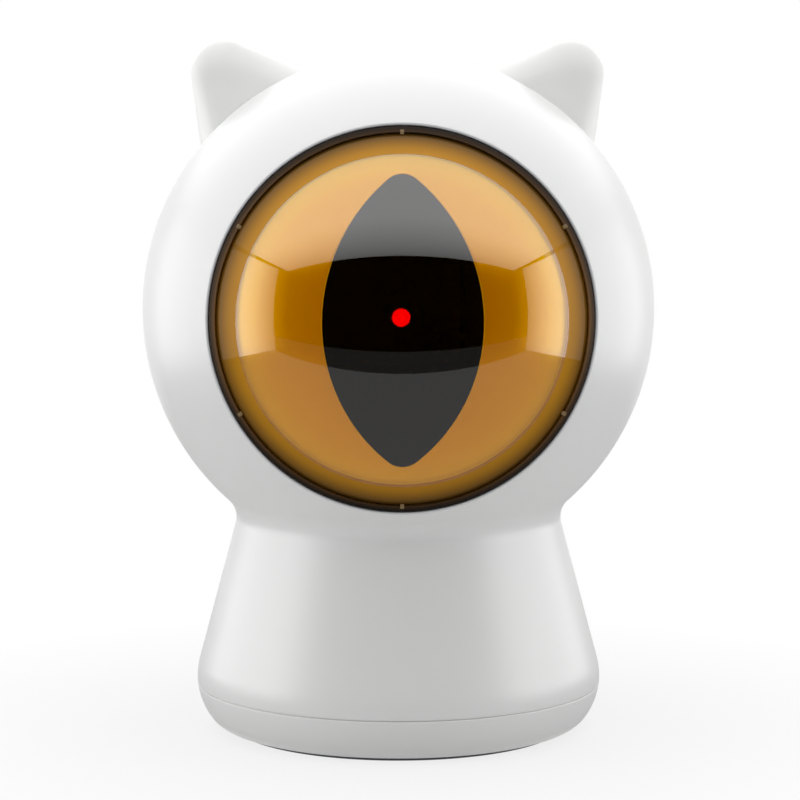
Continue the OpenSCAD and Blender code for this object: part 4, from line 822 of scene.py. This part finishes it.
# Six small nubs at the lens's rim, one for each tab, where it snaps into the black ring
nub_amber = moulding("nub_amber", (150, 126, 90), 0.4, cloud=0.2, Specular_IOR_Level=0.3)
nubs, given = node_group(
    "rim_nubs", "GeometryNodeTree",
    (("Piece", "Geometry"), ("Count", "Int"), ("Out", "Float"), ("Front", "Float"), ("Size", "Vector"),
     ("Centre height", "Float"), ("Material", "Material")), (("Nubs", "Geometry"),))
row = made(nubs, "GeometryNodeMeshLine", {"Count": given["Count"], "Offset": (0, 0, 0)})
turn = maths(nubs, "ADD", made(nubs, "GeometryNodeInputIndex"), 0.5)
turn = maths(nubs, "MULTIPLY", turn, maths(nubs, "DIVIDE", 2 * pi, given["Count"]))
lean = made(nubs, "CombineXYZ", {"Y": turn})
block = made(nubs, "GeometryNodeMeshCube", {"Size": given["Size"], "Vertices X": 4, "Vertices Y": 4, "Vertices Z": 4})
block = made(nubs, "GeometryNodeSubdivisionSurface", {0: block, "Level": 1})
copies = made(nubs, "GeometryNodeInstanceOnPoints", {"Points": row, "Instance": block, "Rotation": lean})
shift = made(nubs, "CombineXYZ", {"X": given["Out"], "Y": given["Front"]})
copies = made(nubs, "GeometryNodeTranslateInstances", {"Instances": copies, "Translation": shift})
lift = made(nubs, "CombineXYZ", {"Z": given["Centre height"]})
lifted = made(nubs, "GeometryNodeTransform", {"Geometry": copies, "Translation": lift})
end_group(nubs, lifted, given["Material"])
nub_row = grown("lens_nubs", nubs, (), {
    "Count": TABS, "Out": 0.02735, "Front": -0.0286, "Size": (0.0007, 0.0007, 0.0006),
    "Centre height": HEAD_H / 1000, "Material": nub_amber}, 40)
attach(nub_row, "body")

# ---- Golden iris ----
# A metallised satin gold cup right behind the lens, rounded at its outer edge and pierced by the
# slit pupil, whose two arcs end in rounded tips at the top and the bottom.

IRIS_BALL, IRIS_IN_BALL, IRIS_R, IRIS_IN_R, IRIS_SOFT = 37.1, 36.2, 25.15, 24.25, 0.9
PUPIL_W, PUPIL_H, TIP_R, SLIT_SOFT = 23.2, 42.6, 3.2, 0.16
RIM_STEPS = 3
tip_z = PUPIL_H / 2 - TIP_R
arc_x = (tip_z ** 2 - (PUPIL_W / 2 - TIP_R) ** 2) / (PUPIL_W - 2 * TIP_R)
arc_r = PUPIL_W / 2 + arc_x
tip_turn = atan2(tip_z * arc_r, arc_x * TIP_R)


def slit(turn, inset=0.0):
    """How far the slit's edge is from the eye's axis in one direction: on one of its arcs, or on a rounded tip."""
    across, up = abs(cos(turn)), abs(sin(turn))
    if up * arc_x * (TIP_R - inset) < across * tip_z * (arc_r - inset):
        return -arc_x * across + sqrt((arc_r - inset) ** 2 - (arc_x * up) ** 2)
    return tip_z * up + sqrt((TIP_R - inset) ** 2 - (tip_z * across) ** 2)


# The directions in which the eye's sections are taken, close together at the slit's tips
quarter = [tip_turn * i / 72 for i in range(72)] + [tip_turn + (pi / 2 - tip_turn) * i / 20 for i in range(20)]
half = quarter + [pi - t for t in [pi / 2] + quarter[:0:-1]]
directions = half + [pi + t for t in half]


def wrapped(name, rows, material, closed=False):
    """A skin through rows of points in millimetres round an axis, each closed on itself or on the axis."""
    count = len(rows[0])
    faces = []
    for k in range(len(rows)):
        a, b = k * count, (k + 1) % len(rows) * count
        faces += [(a + i, a + (i + 1) % count, b + (i + 1) % count, b + i) for i in range(count - 1 + closed)]
    thing = new_object(name, [point for row in rows for point in row], faces)
    return paint_all(thing, material)


def eye_rows(section):
    """A section of (distance, depth) in each direction round the eye's axis."""
    return [[(r * cos(t), -depth, HEAD_H + r * sin(t)) for r, depth in section(t)] for t in directions]


def iris_section(turn):
    """From the slit's wall over the front to the rounded edge, back to the flange, and inside again."""
    r, flange_r = slit(turn), LENS_R + 0.5
    inner = (IRIS_R - IRIS_SOFT, dome(IRIS_BALL - IRIS_SOFT, IRIS_R - IRIS_SOFT)[1])
    line = [dome(IRIS_IN_BALL, r), dome(IRIS_BALL, r, SLIT_SOFT)]
    line += [(r + SLIT_SOFT * 0.3, dome(IRIS_BALL, r, SLIT_SOFT * 0.3)[1]), dome(IRIS_BALL, r + SLIT_SOFT)]
    line += dome_line(IRIS_BALL, r + SLIT_SOFT, IRIS_BALL * inner[0] / (IRIS_BALL - IRIS_SOFT), 40)[1:]
    line += arc(inner, IRIS_SOFT, degrees(atan2(inner[1], inner[0])), 0, 8)[1:]
    line += [(IRIS_R, CLAMP_AT), (flange_r, CLAMP_AT), (flange_r, IRIS_BACK), (IRIS_IN_R, IRIS_BACK)]
    return line + dome_line(IRIS_IN_BALL, IRIS_IN_R, r, 16)[:-1]


# The tone is darker towards the top and lighter towards the bottom, and is painted paler towards the cup's edge as a
# painted sheen
iris_gold, tree = new_material("iris_gold")
place = place_on(tree)
tone = ramp(tree, eye_radius(tree), 0, 0.0252,
            ((0, (224, 170, 70)), (CLEAR_R, (250, 226, 160)), (CLEAR_R + 0.000005, (219, 164, 66))))
dull = ranged(tree, noise(tree, place, 70, 3), 0, 1, 0.94, 1)
darker_upwards = ranged(tree, along(tree, "Z"), (HEAD_H - 24) / 1000, (HEAD_H + 24) / 1000, 1.15, 0.82)
tone = scaled(tree, tone, maths(tree, "MULTIPLY", dull, darker_upwards))
grain = noise(tree, place, 900)
surface(tree, "BsdfPrincipled", {
    "Base Color": tone, "Roughness": ranged(tree, grain, 0, 1, 0.14, 0.2), "Normal": bumped(tree, 0.02, 0.0001, grain),
    "IOR": 2.6, "Specular Tint": (0.8, 1.0, 0.3, 1)})
# The slit's wall and softened edge take a paler, non-metal copy of the gold: a painted highlight along the slit
painted_rim_highlight = moulding("painted_rim_highlight", (255, 244, 205), 0.3, cloud=0.05)
rows = eye_rows(iris_section)
iris = wrapped("iris_cup", rows, iris_gold, closed=True)
iris.data.materials.append(painted_rim_highlight)
for face in iris.data.polygons:
    face.material_index = int(face.index % len(rows[0]) < RIM_STEPS)
tidy_faces(iris)
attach(iris, "body")
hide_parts("iris_reflector")

# ---- Pupil window ----
# Dark smoked window that fills the slit, with a rim that rests behind the iris. The lit laser
# shows through it, and little else.

WINDOW_OUT_BALL, WINDOW_IN_BALL = IRIS_IN_BALL - 0.05, 35.2


def window_section(turn):
    """Over the dome to the slit, back to the rim behind the iris, and over the hollow side."""
    r, rim = slit(turn, 0.05), slit(turn, -0.8)
    line = dome_line(IRIS_BALL, 0, r - 0.08, 24) + [dome(IRIS_BALL, r, 0.08)]
    return line + [dome(WINDOW_OUT_BALL, r), dome(WINDOW_OUT_BALL, rim)] + dome_line(WINDOW_IN_BALL, rim, 0, 20)


pupil_smoke, tree = new_material("pupil_smoke")
cloud = noise(tree, place_on(tree), 120)
tone = either(tree, cloud, (0.004, 0.004, 0.0045, 1), (0.007, 0.007, 0.0075, 1))
surface(tree, "BsdfPrincipled", {
    "Base Color": tone, "Roughness": ranged(tree, cloud, 0, 1, 0.45, 0.55), "Specular IOR Level": 0, "Alpha": 0.8})
window = tidy_faces(wrapped("pupil_smoked", eye_rows(window_section), pupil_smoke))
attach(window, "body")
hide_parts("pupil_window")

# ---- Chassis, yoke, gears and laser ----
# The gimbal behind the eye: grey mouldings for the chassis, yoke and clamp, self-lubricating ivory
# gears, brass pinions on small steel motors, and a turned brass laser barrel.

finish(moulding("chassis_grey", (74, 77, 80), 0.5, cloud=0.1, texture=0.0004, depth=0.06),
       "mech_chassis", "laser_cradle")
finish(moulding("yoke_grey", (132, 135, 138), 0.48, cloud=0.08, texture=0.0004, depth=0.06), "pan_yoke")
finish(moulding("gear_ivory", (226, 221, 206), 0.4, cloud=0.05, texture=0.0003, depth=0.03), "pan_gear", "tilt_gear")
finish(metal("pinion_brass", (226, 192, 122), 0.25, marks=0.1, size=0.0004), "pan_pinion", "tilt_pinion")
finish(metal("barrel_brass", (216, 176, 104), 0.3, marks=0.2, size=0.0003, draw=(0.03, 1, 0.03), depth=0.2),
       "laser_barrel")
finish(metal("motor_steel", (200, 202, 205), 0.3, marks=0.15, size=0.0006), "pan_motor", "tilt_motor")
finish(screw_steel, "holder_screws", "retainer_screws", "chassis_screws", "pan_motor_screws", "tilt_motor_screws",
       "pan_screw", "pan_washer", "board_screws", "usb_screws")

# The laser's lens is lit red all over, and is what shows as a dot in the pupil
LASER_FRONT, LASER_R, LASER_SEAT_R = 22.0, 1.3, 2.0
laser_red, tree = new_material("laser_red")
glow = ramp(tree, eye_radius(tree), 0, 0.0014, ((0, (255, 0, 0)), (0.0014, (225, 0, 0))))
surface(tree, "BsdfPrincipled", {
    "Base Color": (0.5, 0.01, 0.01, 1), "Roughness": 0.15, "Emission Color": glow, "Emission Strength": 30})
line = [(LASER_R * i / 8, LASER_FRONT - 0.1 - 0.22 * (i / 8) ** 2) for i in range(9)]
line += [(LASER_R, LASER_FRONT - 1), (LASER_SEAT_R, LASER_FRONT - 1), (LASER_SEAT_R, LASER_FRONT - 1.6),
         (0, LASER_FRONT - 1.6)]
red = face_front(turned("laser_lens_lit", line, laser_red, turns=64, loop=False))
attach(red, "cradle")
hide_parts("laser_lens")

# ---- Main board and its parts ----
# Green boards with printed tracks, one upright behind the gimbal, one at the socket and a small
# round one on the laser; a black chip and switch, cream sockets, and two sleeved capacitors.

board_green, tree = new_material("board_green")
flat = made(tree, "Mapping", {"Vector": place_on(tree), "Rotation": (pi / 2, 0, 0)})
tracks = add(tree, "TexBrick", {
    "Vector": flat, "Scale": 260, "Mortar Size": 0.05, "Mortar Smooth": 0.2, "Color1": linear(22, 92, 58),
    "Color2": linear(26, 100, 62), "Mortar": linear(48, 134, 84)}).outputs
holes = add(tree, "TexVoronoi", {"Vector": flat, "Scale": 320, "Randomness": 0.35}).outputs["Distance"]
pads = maths(tree, "LESS_THAN", holes, 0.16)
tone = either(tree, pads, tracks["Color"], linear(198, 176, 110))
surface(tree, "BsdfPrincipled", {
    "Base Color": tone, "Roughness": 0.3, "Metallic": pads, "Normal": bumped(tree, 0.2, 0.0001, tracks["Fac"])})
led_clear = moulding("led_clear", (226, 230, 226), 0.12, cloud=0.04)
finish(board_green, "main_board", "usb_board", "laser_driver")
finish(moulding("chip_black", (28, 28, 30), 0.55, cloud=0.2, texture=0.0002, depth=0.1),
       "control_chip", "tact_switch")
finish(moulding("socket_cream", (232, 224, 202), 0.42, cloud=0.05), "board_sockets")
finish(moulding("capacitor_blue", (38, 50, 92), 0.24, cloud=0.1, Coat_Weight=0.4), "capacitors")
finish(led_clear, "status_led")

# ---- Power button and light pipe ----
# A round white button at the back of the head, whose face follows the head, over a switch on the
# board, and above it the clear end of a light pipe. Both keep behind the wall by a flange.

BUTTON_FLANGE, BUTTON_STEM, PIPE_FLANGE = BUTTON_R + 1.2, 1.5, PIPE_R + 0.8


def through_wall(name, z, radius, ball_r, line, material, turns):
    """A round bar along Y, whose outer face follows a ball round the head's centre and has a softened edge. The line
    gives the rest as (distance, place along Y), from the edge inwards."""
    soft = radius * 0.07
    face = [((radius - soft) * i / 10, 0) for i in range(11)] + [(radius - soft * 0.3, soft * 0.3), (radius, soft)]
    rows = []
    for turn in [2 * pi * k / turns for k in range(turns)]:
        row = []
        for r, drop in face:
            x, up = r * cos(turn), z + r * sin(turn)
            row.append((x, sqrt(ball_r ** 2 - x ** 2 - (up - HEAD_H) ** 2) - drop, up))
        rows.append(row + [(r * cos(turn), y, z + r * sin(turn)) for r, y in line])
    return tidy_faces(wrapped(name, rows, material))


def inner_wall(z, reach):
    """Where along Y the head's inner face is, at the far edge of a flange."""
    return sqrt((HEAD_R - WALL) ** 2 - (abs(z - HEAD_H) + reach) ** 2)


at, foot = inner_wall(BUTTON_H, BUTTON_FLANGE) - 0.3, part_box("power_button")[0].y * 1000
line = [(BUTTON_R, at), (BUTTON_FLANGE, at), (BUTTON_FLANGE, at - 1.2), (BUTTON_STEM, at - 1.2), (BUTTON_STEM, foot)]
button = through_wall("power_button_cap", BUTTON_H, BUTTON_R, HEAD_R + 0.3, line + [(0, foot)], shell_white, 96)
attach(button, "button")
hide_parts("power_button")
at, foot = inner_wall(PIPE_H, PIPE_FLANGE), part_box("light_pipe")[0].y * 1000
line = [(PIPE_R, at - 0.1), (PIPE_FLANGE, at - 0.1), (PIPE_FLANGE, at - 1), (PIPE_R, at - 1), (PIPE_R, foot)]
pipe = through_wall("light_pipe_clear", PIPE_H, PIPE_R, HEAD_R + 0.1, line + [(0, foot)], led_clear, 64)
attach(pipe, "body")
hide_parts("light_pipe")

# ---- Leads ----
# Soft sheathed leads to the main board: red and black from the cells, black from the socket and
# the pan motor.

LEAD_BLACK = (32, 33, 36)
lead_pair = moulding("lead_pair", (178, 34, 28), 0.48, cloud=0.12, texture=0.0003, depth=0.05)
tree = lead_pair.node_tree
# The red lead lies to the right of a line that leans back and then runs straight
between = maths(tree, "MAXIMUM", maths(tree, "MULTIPLY_ADD", along(tree, "Y"), -0.42, 0.0014), -0.0065)
red_side = maths(tree, "GREATER_THAN", along(tree, "X"), between)
shader = next(n for n in tree.nodes if n.type == "BSDF_PRINCIPLED")
skin = shader.inputs["Base Color"].links[0].from_socket
tree.links.new(either(tree, red_side, linear(*LEAD_BLACK), skin), shader.inputs["Base Color"])
finish(lead_pair, "battery_leads")
finish(moulding("lead_black", LEAD_BLACK, 0.5, cloud=0.15, texture=0.0003, depth=0.05),
       "usb_leads", "pan_motor_leads")
